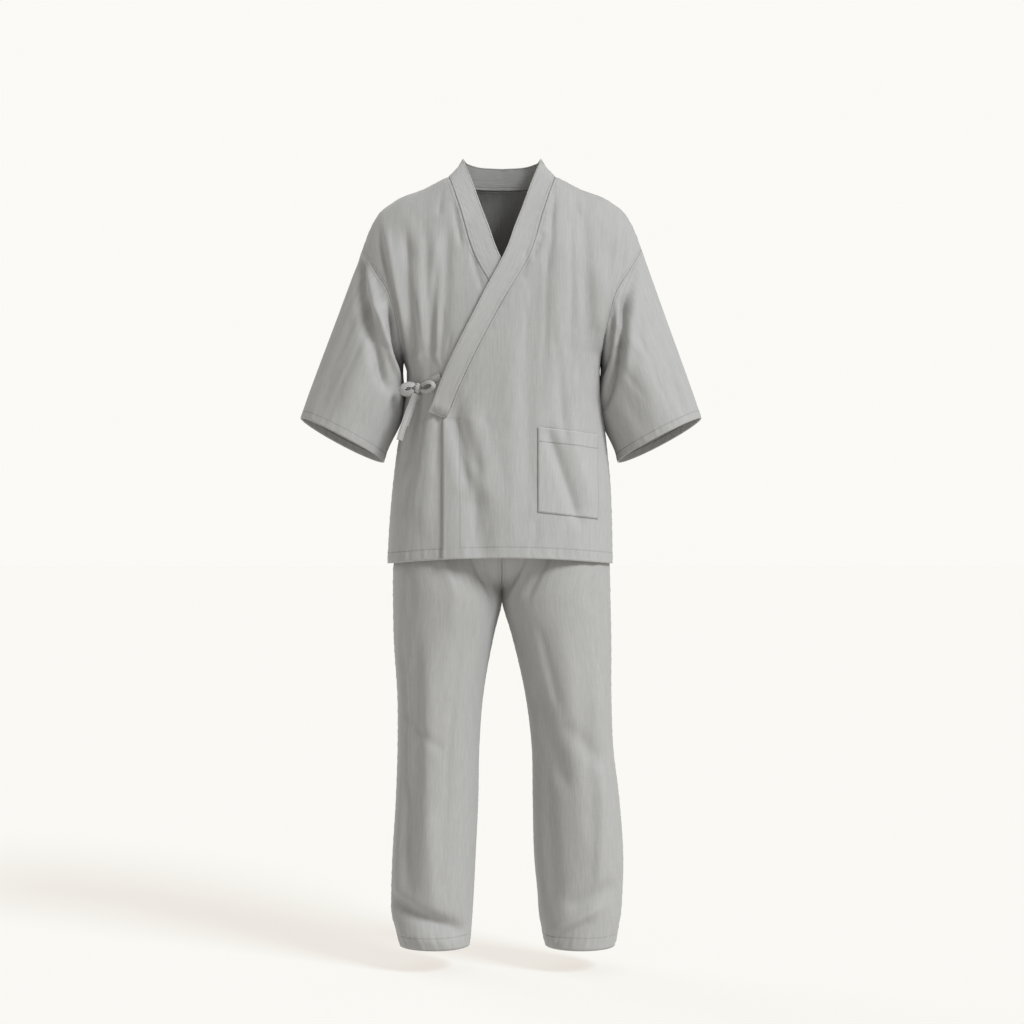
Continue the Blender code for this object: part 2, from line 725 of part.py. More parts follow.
def knot(name, colour):
    """The knot: a small rounded lump with a crease where the tape crosses it."""
    build = bmesh.new()
    bmesh.ops.create_uvsphere(build, u_segments=12, v_segments=8, radius=1.0)
    centre = (KNOT_X, float(tie_depth(np.array([KNOT_X]), KNOT_DROP, KNOT_LIFT)[0]), -KNOT_DROP)
    for vertex in build.verts:
        pinch = 1 - KNOT_PINCH * math.exp(-((vertex.co.z / KNOT_PINCH_LONG) ** 2))
        vertex.co = Vector(c + p * h * pinch for c, p, h in zip(centre, vertex.co, KNOT_HALF))
    mesh = bpy.data.meshes.new(name)
    build.to_mesh(mesh)
    build.free()
    return keep(mesh, name, colour)


# Trousers


def leg_point(side, back, round_, drop):
    """A point of a leg panel: round_ runs from the side seam to the centre or inseam."""
    half = curve(drop, HIPS["drop"], HIPS["half"])
    depth = curve(drop, HIPS["drop"], HIPS["back" if back else "front"])
    turn = round_ * np.pi / 2
    hip_x = half * np.cos(turn) ** HIP_POWER
    hip_y = depth * np.sin(turn) ** HIP_POWER
    name = "right" if side > 0 else "left"
    outer = curve(drop, LEGS["drop"], LEGS["outer_" + name])
    inner = curve(drop, LEGS["drop"], LEGS["inner_" + name])
    leg_depth = curve(drop, LEGS["drop"], LEGS["back" if back else "front"])
    leg_x = (outer + inner) / 2 + (outer - inner) / 2 * np.cos(np.pi * round_)
    leg_y = leg_depth * np.sin(np.pi * round_) ** LEG_POWER
    t = np.clip((drop - CROTCH_START_DROP) / (CROTCH_DROP - CROTCH_START_DROP), 0, 1)
    sharp = 1 - np.sqrt(np.clip(1 - t * t, 0, 1))
    mix = ease(t) + (sharp - ease(t)) * round_**3
    x = hip_x + (leg_x - hip_x) * mix
    y = hip_y + (leg_y - hip_y) * mix
    mine = (LEG_FOLDS["side"] == side) & (LEG_FOLDS["back"] == int(back))
    folds = {name: column[mine] for name, column in LEG_FOLDS.items()}
    ends = ("round0", "drop0", "round1", "drop1")
    rise = fold_field(folds, round_, drop, ends, stretch=LEG_FOLD_STRETCH)
    rise = rise * ease(round_ / LEG_FOLD_EDGE) * ease((1 - round_) / LEG_FOLD_EDGE)
    x = x + rise * np.cos(np.pi * round_)
    y = y + rise * np.sin(np.pi * round_)
    middle = curve(drop, LEGS["drop"], LEGS["mid"])
    return np.stack([side * x, middle + (y if back else -y), -drop], axis=-1)


def leg_drops(rows):
    """The heights of a leg's rows, closer where the crotch seam curves under."""
    upper = round(rows * LEG_UPPER_ROWS_SHARE)
    t = np.sin(np.linspace(0, np.pi / 2, upper + 1))
    top = WAIST_DROP + WAISTBAND_HIGH + SEAM
    rise = np.where(t < 1, top + (CROTCH_DROP - top) * t, CROTCH_DROP)
    return np.concatenate([rise, np.linspace(CROTCH_DROP, LEG_HEM_DROP, rows - upper + 1)[1:]])


def leg_panel(side, back, rows):
    drops = leg_drops(rows)

    def place(u, v):
        drop = drops[np.rint(v * rows).astype(int)]
        point = leg_point(side, back, u, drop)
        point[:, 1] += np.where(back, 1, -1) * SEAM * (1 + 3 * u**6)
        point[:, 0] += side * CENTRE_SEAM_GAP * u**6
        return point

    return place


def waistband_point(u, v):
    """The casing: a ring at the waist."""
    angle = 2 * np.pi * u
    drop = WAIST_DROP + (WAISTBAND_HIGH - SEAM) * v
    half = curve(drop, HIPS["drop"], HIPS["half"])
    sine = np.sin(angle)
    depth = np.where(
        sine < 0,
        curve(drop, HIPS["drop"], HIPS["front"]),
        curve(drop, HIPS["drop"], HIPS["back"]),
    )
    x = half * np.sign(np.cos(angle)) * np.abs(np.cos(angle)) ** HIP_POWER
    y = depth * np.sign(sine) * np.abs(sine) ** HIP_POWER
    return np.stack([x, y, -drop], axis=-1)


# Making objects


def cloth(name, colour):
    """A matte woven cloth."""
    material = bpy.data.materials.new(name)
    material.use_nodes = True
    shader = material.node_tree.nodes["Principled BSDF"]
    shader.inputs["Base Color"].default_value = (*colour, 1)
    shader.inputs["Roughness"].default_value = 0.85
    shader.inputs["Metallic"].default_value = 0.0
    return material


def keep(mesh, name, colour):
    piece = bpy.data.objects.new(name, mesh)
    mesh.materials.append(cloth(name + "_cloth", colour))
    mesh.shade_smooth()
    home.objects.link(piece)
    return piece


def sheet(name, columns, rows, place, colour, wall=WALL, ring=False):
    """A grid whose points are put in place by a function, given its wall by Solidify."""
    build = bmesh.new()
    bmesh.ops.create_grid(build, x_segments=columns, y_segments=rows, size=0.5)
    flat = np.array([vertex.co for vertex in build.verts])
    u = np.rint((flat[:, 0] + 0.5) * columns) / columns
    v = np.rint((0.5 - flat[:, 1]) * rows) / rows
    for vertex, point in zip(build.verts, place(u, v)):
        vertex.co = Vector(point)
    if ring:
        bmesh.ops.remove_doubles(build, verts=build.verts, dist=1e-6)
    mesh = bpy.data.meshes.new(name)
    build.to_mesh(mesh)
    build.free()
    piece = keep(mesh, name, colour)
    solid = piece.modifiers.new("Wall", "SOLIDIFY")
    solid.thickness = wall
    solid.offset = 0.0
    return piece


for old in list(bpy.data.objects):
    bpy.data.objects.remove(old)
home = bpy.data.collections.new("Wrap pyjama set")
bpy.context.scene.collection.children.link(home)

GREY = (0.42, 0.42, 0.41)
SHADE = (0.38, 0.38, 0.37)
BAND_GREY = (0.44, 0.44, 0.43)

FRONT_ROWS, FRONT_COLUMNS = 24, 14
place_over, over_levels = front_panel(1, FRONT_ROWS)
place_under, _ = front_panel(-1, FRONT_ROWS)
sheet("top_front_over", FRONT_COLUMNS, FRONT_ROWS, place_over, GREY)
sheet("top_front_under", FRONT_COLUMNS, FRONT_ROWS, place_under, SHADE)
BACK_ROWS, BACK_COLUMNS = 22, 22
place_back = back_panel(BACK_ROWS, BACK_COLUMNS)
sheet("top_back", BACK_COLUMNS, BACK_ROWS, place_back, GREY)
SLEEVE_HALF, SLEEVE_ROWS = 11, 10
for word, side in (("left", 1), ("right", -1)):
    sheet("sleeve_" + word, 2 * SLEEVE_HALF, SLEEVE_ROWS, sleeve(side, SLEEVE_HALF, SLEEVE_ROWS), GREY)
place_collar, collar_rows = collar(over_levels)
sheet("collar_band", 3, collar_rows, place_collar, BAND_GREY, wall=BAND_WALL)
sheet("pocket", 6, 7, pocket_point, BAND_GREY)
knot("tie_knot", SHADE)
for word, way, start in LOOP_STARTS:
    loop = tape(loop_middle(way), loop_across(way), start, 2 * math.pi - start)
    sheet("tie_loop_" + word, 2, 14, loop, BAND_GREY, wall=TAPE_WALL)
PATHS = (("tape_front", TAPE_FRONT), ("tail_front", TAIL_FRONT), ("tail_behind", TAIL_BEHIND))
for word, path in PATHS:
    run = tape(path_middle(path), path_across(path), 0.0, 1.0)
    sheet("tie_" + word, 2, 8, run, BAND_GREY, wall=TAPE_WALL)
sheet("tie_tape_side", 2, 6, tape_side, SHADE, wall=TAPE_WALL)
LEG_ROWS, LEG_COLUMNS = 26, 10
for word, side in (("left", 1), ("right", -1)):
    for part, back in (("front", False), ("back", True)):
        name = f"trouser_{part}_{word}"
        sheet(name, LEG_COLUMNS, LEG_ROWS, leg_panel(side, back, LEG_ROWS), GREY)
sheet("waistband", 36, 1, waistband_point, SHADE, ring=True)
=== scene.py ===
# %% [markdown]
# # A wrap-front pyjama set in Blender
#
# The real set is two garments of one grey crinkled cotton: a wrap top with wide sleeves, a band
# collar and a side bow, and straight trousers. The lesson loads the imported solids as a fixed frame
# and dresses each one with a thin shell of cloth. Every shell is worked out from the garment's own
# sizes, so that a fold, a hem or a row of stitches can be moved by changing one named value.

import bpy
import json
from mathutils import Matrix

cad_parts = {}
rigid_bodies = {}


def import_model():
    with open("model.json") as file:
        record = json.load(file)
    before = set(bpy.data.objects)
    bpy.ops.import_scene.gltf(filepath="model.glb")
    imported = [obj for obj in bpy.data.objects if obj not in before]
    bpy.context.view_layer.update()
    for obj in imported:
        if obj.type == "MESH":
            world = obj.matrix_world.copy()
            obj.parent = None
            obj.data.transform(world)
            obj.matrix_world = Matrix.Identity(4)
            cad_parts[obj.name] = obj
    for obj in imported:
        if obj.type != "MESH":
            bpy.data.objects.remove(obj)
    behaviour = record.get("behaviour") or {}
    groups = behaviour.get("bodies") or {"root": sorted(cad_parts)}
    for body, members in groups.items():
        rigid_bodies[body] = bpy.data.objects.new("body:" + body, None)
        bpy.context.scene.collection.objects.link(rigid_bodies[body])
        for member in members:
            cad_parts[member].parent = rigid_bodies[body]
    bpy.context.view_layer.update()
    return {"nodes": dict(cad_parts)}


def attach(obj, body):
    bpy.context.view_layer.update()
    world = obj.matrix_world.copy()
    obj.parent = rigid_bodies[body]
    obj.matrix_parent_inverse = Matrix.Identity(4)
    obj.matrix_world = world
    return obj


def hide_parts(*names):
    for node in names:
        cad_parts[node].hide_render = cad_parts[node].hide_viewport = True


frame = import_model()
print("solids in the frame:", len(frame["nodes"]))

# %% Modules
import json
import math

import bmesh
import bpy
import numpy as np
from mathutils import Vector

scene = bpy.context.scene

# %% [markdown]
# ## The camera
#
# The picture is a straight front view, level with the waist. The lens is found from how much height
# the square picture covers at the garment, so that the perspective of sleeves and hems is right.

# %% Make the camera
VIEW_HIGH = 1.925
VIEW_AWAY = 4.0
VIEW_CENTRE = (0.0188, -0.628)
SENSOR_MM = 36
VIEW_END = 100

camera = bpy.data.objects.new("camera", bpy.data.cameras.new("camera"))
scene.collection.objects.link(camera)
camera.data.sensor_width = SENSOR_MM
camera.data.lens = SENSOR_MM * VIEW_AWAY / VIEW_HIGH
camera.location = (VIEW_CENTRE[0], -VIEW_AWAY, VIEW_CENTRE[1])
camera.rotation_euler = (math.pi / 2, 0, 0)
camera.data.clip_end = VIEW_END
scene.camera = camera
print("lens in millimetres:", round(camera.data.lens, 1))

# %% [markdown]
# ## Node helpers
#
# The room, the cloth and the stitches are all built from nodes. These helpers let a node be written
# on one line with what goes into it, and let the maths between nodes be written with plain signs.


# %% Node helpers
def feed(tree, value, socket):
    """Links a socket to what is made elsewhere in the tree, or sets it to a plain value."""
    value = value.socket if isinstance(value, Flow) else value
    if isinstance(value, bpy.types.NodeSocket):
        tree.links.new(value, socket)
    else:
        socket.default_value = value


def add_node(tree, kind, inputs=None, **settings):
    """A node with its settings, and with each named input fed."""
    node = tree.nodes.new(kind)
    for name, value in settings.items():
        setattr(node, name, value)
    for label, value in (inputs or {}).items():
        feed(tree, value, node.inputs[label])
    return node


class Flow:
    """A number that flows through a shader tree. The plain signs of arithmetic add math nodes."""

    def __init__(self, tree, socket):
        self.tree, self.socket = tree, socket

    def math(self, operation, other=None, clamp=False):
        inputs = {0: self} if other is None else {0: self, 1: other}
        node = add_node(self.tree, "ShaderNodeMath", inputs, operation=operation, use_clamp=clamp)
        return Flow(self.tree, node.outputs[0])

    def soft(self, low, high, to_low, to_high):
        """Runs smoothly from one value to another between two bounds."""
        ends = zip(("From Min", "From Max", "To Min", "To Max"), (low, high, to_low, to_high))
        inputs = {"Value": self, **dict(ends)}
        node = add_node(self.tree, "ShaderNodeMapRange", inputs, interpolation_type="SMOOTHSTEP")
        return Flow(self.tree, node.outputs["Result"])

    def __add__(self, other):
        return self.math("ADD", other)

    def __sub__(self, other):
        return self.math("SUBTRACT", other)

    def __mul__(self, other):
        return self.math("MULTIPLY", other)

    def __abs__(self):
        return self.math("ABSOLUTE")


def new_group(name, inputs, outputs, kind="ShaderNodeTree"):
    """An empty node group with its input and output nodes."""
    group = bpy.data.node_groups.new(name, kind)
    for label, socket_type, value in inputs:
        socket = group.interface.new_socket(name=label, in_out="INPUT", socket_type=socket_type)
        if value is not None:
            socket.default_value = value
    for label, socket_type in outputs:
        group.interface.new_socket(name=label, in_out="OUTPUT", socket_type=socket_type)
    return group, group.nodes.new("NodeGroupInput"), group.nodes.new("NodeGroupOutput")


def new_material(name):
    """A material with its tree, and a function that feeds the shader's own sockets."""
    material = bpy.data.materials.new(name)
    material.use_nodes = True
    tree = material.node_tree
    shader = tree.nodes["Principled BSDF"]

    def finish(inputs):
        for label, value in inputs.items():
            feed(tree, value, shader.inputs[label])

    return material, tree, finish


def blend(tree, factor, first, second):
    """A colour between two others."""
    inputs = {"Factor": factor, "A": first, "B": second}
    return add_node(tree, "ShaderNodeMix", inputs, data_type="RGBA").outputs["Result"]


print("node helpers ready")

# %% [markdown]
# ## Floor and light
#
# A studio's pale floor and backdrop are one even tone. A sun lamp with a wide angle gives the soft
# light of a large window on the right, and a faint one behind stands for a reflector. The world
# gives the even light of a white room. What is seen of the room is brighter than the fill it gives,
# so the cloth keeps its shading. The floor glows, so that it takes only a faint shadow.

# %% Light the studio
ROOM_COLOUR = (0.965, 0.953, 0.921, 1)
ROOM_STRENGTH = 1.0
FILL_COLOUR = (1.0, 0.97, 0.90, 1)
FILL_STRENGTH = 0.45
WINDOW_COLOUR = (0.965, 0.982, 1.0)
SUNS = (
    ("window", 3.2, math.radians(20), (1.05, -0.95, 1.15)),
    ("reflector", 0.9, math.radians(40), (-0.95, 0.9, 0.65)),
)
FLOOR_DROP = 1.488
FLOOR_HALF = 30.0
FLOOR_PAINT = {
    "Base Color": (0.185, 0.225, 0.245, 1),
    "Roughness": 0.9,
    "Specular IOR Level": 0.0,
    "Emission Color": (0.736, 0.678, 0.618, 1),
    "Emission Strength": 1.0,
}

world = bpy.data.worlds.new("room")
world.use_nodes = True
room = world.node_tree
seen = room.nodes["Background"]
feed(room, ROOM_COLOUR, seen.inputs["Color"])
feed(room, ROOM_STRENGTH, seen.inputs["Strength"])
fill = add_node(room, "ShaderNodeBackground", {"Color": FILL_COLOUR, "Strength": FILL_STRENGTH})
ray = add_node(room, "ShaderNodeLightPath")
sides = {0: ray.outputs["Is Camera Ray"], 1: fill.outputs[0], 2: seen.outputs[0]}
either = add_node(room, "ShaderNodeMixShader", sides)
feed(room, either.outputs[0], room.nodes["World Output"].inputs["Surface"])
scene.world = world

for name, strength, angle, toward in SUNS:
    lamp = bpy.data.objects.new(name, bpy.data.lights.new(name, "SUN"))
    lamp.data.energy = strength
    lamp.data.angle = angle
    lamp.data.color = WINDOW_COLOUR
    lamp.rotation_euler = Vector(toward).to_track_quat("Z", "Y").to_euler()
    scene.collection.objects.link(lamp)

corners = [(x * FLOOR_HALF, y * FLOOR_HALF) for x, y in ((-1, -1), (1, -1), (1, 1), (-1, 1))]
floor_mesh = bpy.data.meshes.new("floor")
floor_mesh.from_pydata([(x, y, -FLOOR_DROP) for x, y in corners], [], [(0, 1, 2, 3)])
floor = bpy.data.objects.new("floor", floor_mesh)
scene.collection.objects.link(floor)
floor_paint, _, finish_floor = new_material("floor_paint")
finish_floor(FLOOR_PAINT)
floor_mesh.materials.append(floor_paint)
scene.view_settings.view_transform = "Standard"
print("floor at a drop of", FLOOR_DROP)

# %% [markdown]
# ## Sizes of the garment
#
# A tailor thinks in a few sizes: where the neck, shoulder, underarm and hem are, and how wide each
# level is. Heights are drops below the neck. The front faces -Y and the wearer's left is +X, so a
# side is 1 on the left and -1 on the right. The sizes are in metres and follow the solids within a
# few millimetres. Solids keep a small gap at every seam. The shells meet there, so that no light
# shows through.

# %% Sizes
WALL = 0.0014
BAND_WALL = 0.0022
TAPE_WALL = 0.0016
OVER_LIFT = 0.0030
UNDER_SINK = 0.0012
BAND_GAP = -0.0006
BAND_STAND = 0.0002
FOLD_EDGE = 0.012
FOLD_TOP_LEVEL = 0.25
FOLD_RUN_OUT = 0.12
FOLD_FADE = 0.3
HALVINGS = 32

NECK_X = 0.0996
SHOULDER_X = 0.262
UNDERARM_DROP = 0.345
TOP_HEM_DROP = 0.712
TOP_HEM_SWAY = 0.012
SECTION_POWER = 2.4
FRONT_ROUND = 2.3
BACK_ROUND = 2.8
BACK_NECK_LEVEL = 0.075
FRONT_EDGE_X = 0.1068
BAND_END_DROP = 0.4566
SLIT_LEVEL = 1.74
SLIT_OPEN = 0.004
LAP_END_X = 0.185
LAP_EASE_X = 0.05
LAP_START_DROP = 0.075
LAP_EASE_DROP = 0.06
LOWER_ROWS_SHARE = 0.42
LEVEL_POWER = 1.7
NECK_ROWS_LEVEL = 0.6
EDGE_SEARCH_X = 0.16
LEVEL_SEARCH = 2.3
LEAST_DEPTH = 0.02


# %% Tables
def table(columns, *rows):
    """The rows of a small table as one array for each named column."""
    return dict(zip(columns.split(), np.array(rows, float).T))


SHOULDER_LINE = table(
    "out drop",
    (0.000, -0.012),
    (0.060, -0.008),
    (0.100, 0.000),
    (0.145, 0.022),
    (0.205, 0.048),
    (0.235, 0.075),
    (0.250, 0.104),
    (0.262, 0.137),
)

# Level 0 is the shoulder line, 1 the underarm and 2 the hem. Left and right are how far out each
# side reaches. Share is the part of the depth that the armhole keeps.
BODY = table(
    "level right left share front back",
    (0.00, 0.262, 0.262, 0.60, 0.122, 0.127),
    (0.20, 0.238, 0.238, 0.70, 0.122, 0.128),
    (0.40, 0.212, 0.212, 0.76, 0.122, 0.128),
    (0.60, 0.199, 0.199, 0.70, 0.122, 0.128),
    (0.80, 0.191, 0.191, 0.55, 0.122, 0.127),
    (0.93, 0.187, 0.187, 0.30, 0.122, 0.126),
    (1.00, 0.1845, 0.1845, 0.0, 0.122, 0.125),
    (1.05, 0.1782, 0.1825, 0.0, 0.1215, 0.123),
    (1.12, 0.1788, 0.1850, 0.0, 0.121, 0.121),
    (1.23, 0.1830, 0.1885, 0.0, 0.120, 0.119),
    (1.42, 0.1950, 0.1960, 0.0, 0.121, 0.121),
    (1.61, 0.2040, 0.2030, 0.0, 0.125, 0.127),
    (1.83, 0.2110, 0.2060, 0.0, 0.129, 0.134),
    (2.00, 0.2140, 0.2070, 0.0, 0.131, 0.138),
)

# Where the band is sewn to a front: positive is the side that the band starts on.
NECK_SEAM = table(
    "drop out",
    (0.000, 0.0996),
    (0.070, 0.0770),
    (0.153, 0.0515),
    (0.251, -0.0040),
    (0.345, -0.0530),
    (0.407, -0.0820),
    (0.4566, -0.1030),
)

print("levels of the body:", len(BODY["level"]))

# %% [markdown]
# ## Folds
#
# Cotton that hangs from two shoulders falls in long soft troughs and ridges. Each one is a line
# with a half width and a rise, written down one by one, and it fades out at both ends. The wide ones
# are in the solids too, and the narrow ones are for the shell alone. Sculpting would give the same
# forms, but a table can be read and changed, and it lands on the same place in every run.

# %% Tables of the top's folds
FRONT_FOLDS = table(
    "x0 drop0 x1 drop1 half rise",
    (-0.150, 0.090, -0.135, 0.330, 0.013, -0.0055),
    (-0.122, 0.120, -0.118, 0.350, 0.012, 0.0045),
    (-0.100, 0.110, -0.112, 0.360, 0.011, -0.0045),
    (-0.172, 0.160, -0.155, 0.380, 0.013, 0.0055),
    (-0.150, 0.420, -0.180, 0.640, 0.014, -0.0065),
    (-0.128, 0.430, -0.142, 0.660, 0.014, 0.0045),
    (-0.085, 0.420, -0.040, 0.560, 0.012, -0.0050),
    (0.020, 0.330, 0.010, 0.690, 0.022, 0.0035),
    (0.060, 0.180, 0.045, 0.430, 0.020, -0.0035),
    (0.110, 0.100, 0.100, 0.400, 0.018, 0.0040),
    (0.150, 0.080, 0.160, 0.330, 0.013, -0.0050),
    (0.178, 0.170, 0.181, 0.400, 0.022, 0.0090),
)
BACK_FOLDS = table(
    "x0 drop0 x1 drop1 half rise",
    (-0.160, 0.110, -0.135, 0.420, 0.015, -0.0055),
    (-0.110, 0.150, -0.120, 0.520, 0.018, 0.0050),
    (-0.055, 0.120, -0.060, 0.480, 0.020, -0.0040),
    (0.010, 0.200, 0.000, 0.640, 0.022, 0.0040),
    (0.065, 0.110, 0.075, 0.450, 0.018, -0.0045),
    (0.120, 0.140, 0.125, 0.560, 0.018, 0.0055),
    (0.165, 0.100, 0.145, 0.400, 0.015, -0.0055),
    (-0.080, 0.480, -0.095, 0.700, 0.018, -0.0050),
    (0.090, 0.500, 0.085, 0.700, 0.018, -0.0050),
)
FRONT_CREASES = table(
    "x0 drop0 x1 drop1 half rise",
    (-0.222, 0.080, -0.165, 0.360, 0.0100, 0.0065),
    (-0.231, 0.090, -0.180, 0.340, 0.0070, -0.0070),
    (0.219, 0.090, 0.196, 0.330, 0.0100, 0.0050),
    (0.229, 0.100, 0.207, 0.310, 0.0070, -0.0060),
    (-0.178, 0.110, -0.162, 0.350, 0.0100, -0.0085),
    (-0.150, 0.110, -0.145, 0.350, 0.0100, 0.0070),
    (-0.119, 0.170, -0.133, 0.370, 0.0080, -0.0060),
    (-0.109, 0.012, -0.116, 0.080, 0.0055, -0.0034),
    (-0.090, 0.055, -0.074, 0.140, 0.0055, -0.0034),
    (-0.055, 0.155, -0.037, 0.220, 0.0055, -0.0026),
    (0.101, 0.006, 0.090, 0.115, 0.0060, -0.0050),
    (0.094, 0.110, 0.083, 0.190, 0.0060, -0.0028),
    (0.075, 0.118, 0.058, 0.160, 0.0055, -0.0028),
    (0.047, 0.145, 0.038, 0.205, 0.0055, -0.0022),
    (0.131, 0.028, 0.142, 0.080, 0.0065, -0.0032),
    (-0.160, 0.230, -0.140, 0.370, 0.0050, -0.0024),
    (-0.108, 0.250, -0.117, 0.375, 0.0045, -0.0020),
    (-0.092, 0.300, -0.108, 0.372, 0.0040, -0.0016),
    (-0.170, 0.330, -0.152, 0.388, 0.0045, -0.0020),
    (-0.165, 0.420, -0.188, 0.560, 0.0050, -0.0022),
    (-0.138, 0.415, -0.160, 0.580, 0.0050, -0.0024),
    (-0.116, 0.420, -0.120, 0.560, 0.0045, -0.0018),
    (-0.100, 0.405, -0.062, 0.530, 0.0050, -0.0020),
    (-0.158, 0.410, -0.188, 0.560, 0.0090, -0.0065),
    (-0.146, 0.445, -0.164, 0.640, 0.0110, 0.0045),
    (-0.094, 0.440, -0.060, 0.590, 0.0110, -0.0085),
    (-0.054, 0.592, -0.032, 0.720, 0.0210, -0.0080),
    (-0.060, 0.430, -0.014, 0.620, 0.0180, 0.0045),
    (-0.070, 0.370, -0.020, 0.480, 0.0060, -0.0015),
    (-0.040, 0.470, -0.050, 0.690, 0.0070, -0.0018),
    (0.045, 0.250, 0.040, 0.440, 0.0060, -0.0014),
    (0.083, 0.120, 0.078, 0.380, 0.0060, -0.0018),
    (0.128, 0.090, 0.124, 0.420, 0.0060, -0.0020),
    (0.140, 0.200, 0.146, 0.450, 0.0055, 0.0016),
    (0.095, 0.300, 0.108, 0.460, 0.0050, -0.0014),
    (0.084, 0.480, 0.142, 0.650, 0.0110, -0.0085),
    (0.116, 0.470, 0.166, 0.620, 0.0140, 0.0045),
    (0.104, 0.350, 0.116, 0.500, 0.0090, -0.0060),
    (0.146, 0.360, 0.152, 0.500, 0.0080, -0.0040),
    (0.046, 0.400, 0.050, 0.600, 0.0120, -0.0030),
    (0.062, 0.640, 0.060, 0.705, 0.0070, -0.0018),
    (0.130, 0.640, 0.135, 0.705, 0.0080, 0.0018),
    (0.000, 0.520, 0.010, 0.700, 0.0065, -0.0014),
)
BACK_CREASES = table(
    "x0 drop0 x1 drop1 half rise",
    (-0.200, 0.110, -0.158, 0.400, 0.0110, -0.0080),
    (-0.180, 0.130, -0.140, 0.420, 0.0100, 0.0065),
    (-0.150, 0.090, -0.112, 0.330, 0.0080, -0.0055),
    (-0.095, 0.150, -0.080, 0.450, 0.0110, -0.0050),
    (-0.060, 0.120, -0.052, 0.400, 0.0090, 0.0040),
    (-0.025, 0.160, -0.035, 0.480, 0.0110, -0.0060),
    (0.030, 0.180, 0.022, 0.520, 0.0120, 0.0050),
    (0.062, 0.130, 0.070, 0.420, 0.0100, -0.0055),
    (0.104, 0.110, 0.092, 0.430, 0.0090, 0.0045),
    (0.142, 0.100, 0.110, 0.350, 0.0090, -0.0065),
    (0.186, 0.120, 0.146, 0.410, 0.0110, -0.0080),
    (0.202, 0.130, 0.165, 0.400, 0.0090, 0.0055),
    (-0.150, 0.390, -0.176, 0.640, 0.0110, -0.0075),
    (-0.124, 0.400, -0.140, 0.690, 0.0120, 0.0050),
    (-0.085, 0.430, -0.060, 0.620, 0.0110, -0.0060),
    (-0.030, 0.500, -0.048, 0.705, 0.0120, 0.0050),
    (0.012, 0.460, 0.030, 0.690, 0.0120, -0.0065),
    (0.070, 0.430, 0.050, 0.640, 0.0100, 0.0040),
    (0.118, 0.410, 0.128, 0.680, 0.0120, -0.0070),
    (0.156, 0.420, 0.176, 0.660, 0.0100, 0.0050),
)


# %% Curves and folds
def curve(at, keys, values):
    """A smooth curve through values at keys, held flat past both ends."""
    at = np.clip(at, keys[0], keys[-1])
    slopes = np.gradient(values, keys)
    i = np.clip(np.searchsorted(keys, at, side="right") - 1, 0, len(keys) - 2)
    gap = keys[i + 1] - keys[i]
    t = (at - keys[i]) / gap
    bend = gap * t * (1 - t) * ((1 - t) * slopes[i] - t * slopes[i + 1])
    return values[i] + (values[i + 1] - values[i]) * ease(t) + bend


def look(rows, column, at):
    """Reads a table's column at a place in its first column."""
    return curve(at, next(iter(rows.values())), rows[column])


def ease(t):
    """0 to 1, level at both ends."""
    t = np.clip(t, 0, 1)
    return t * t * (3 - 2 * t)


def fold_field(tables, x, drop, stretch=1.0):
    """The rise of all the folds at each point, fading out towards both ends of each.

    The last six columns of a table are a fold's two ends, its half width and its rise.
    """
    total = np.zeros(np.shape(x))
    for folds in tables:
        for x0, d0, x1, d1, half, rise in zip(*list(folds.values())[-6:]):
            run, fall = x1 - x0, (d1 - d0) * stretch
            size = run * run + fall * fall
            t = ((x - x0) * run + (drop - d0) * stretch * fall) / size
            off = ((x - x0) * fall - (drop - d0) * stretch * run) / math.sqrt(size)
            fade = ease((t + FOLD_RUN_OUT) / FOLD_FADE) * ease((1 + FOLD_RUN_OUT - t) / FOLD_FADE)
            total = total + rise * fade * np.exp(-((off / half) ** 2))
    return total


print("folds in the front:", len(FRONT_FOLDS["x0"]) + len(FRONT_CREASES["x0"]))

# %% [markdown]
# ## The body of the top
#
# Each level of the body is a rounded oval that is wider than it is deep. The armhole cuts its ends
# off above the underarm. A point is found from its level and from how far across it is, and the
# folds then push it out or in along the oval's own direction. The two fronts lap, so the over front
# stands off a little and the under front sinks in.


# %% Body functions
def side_of(x):
    return np.where(x > 0, 1, -1)


def edge_out(level, side):
    """How far out a panel reaches at a level: the armhole, and below it the side seam."""
    return np.where(side > 0, look(BODY, "left", level), look(BODY, "right", level))


def half_width(level, side):
    """The half width of the whole section that the armhole is cut from."""
    share = np.clip(look(BODY, "share", level), 0, 1)
    return edge_out(level, side) / (1 - share**SECTION_POWER) ** (1 / SECTION_POWER)


def half_depth(level, back):
    rounding = BACK_ROUND if back else FRONT_ROUND
    top = np.clip(1 - level, 0, 1) ** rounding
    return look(BODY, "back" if back else "front", level) * (1 - top) ** (1 / rounding)


def drop_at(level, x, side):
    reach = edge_out(np.minimum(level, 1.0), side)
    top = look(SHOULDER_LINE, "drop", np.abs(x) * SHOULDER_X / reach)
    upper = top + (UNDERARM_DROP - top) * np.minimum(level, 1.0)
    share = np.clip(np.abs(x) / edge_out(level, side), 0, 1)
    hem = TOP_HEM_DROP + TOP_HEM_SWAY * share**2
    lower = UNDERARM_DROP + (hem - UNDERARM_DROP) * (level - 1)
    return np.where(level < 1, upper, lower)


def halving(low, high, is_past):
    """The place where is_past turns true, found by halving the way between two bounds."""
    for _ in range(HALVINGS):
        middle = (low + high) / 2
        past = is_past(middle)
        low, high = np.where(past, low, middle), np.where(past, middle, high)
    return (low + high) / 2


def level_at(x, drop, side):
    """The level that passes a point of the front view."""
    bounds = np.zeros(np.shape(x)), np.full(np.shape(x), LEVEL_SEARCH)
    return halving(*bounds, lambda level: drop_at(level, x, side) >= drop)


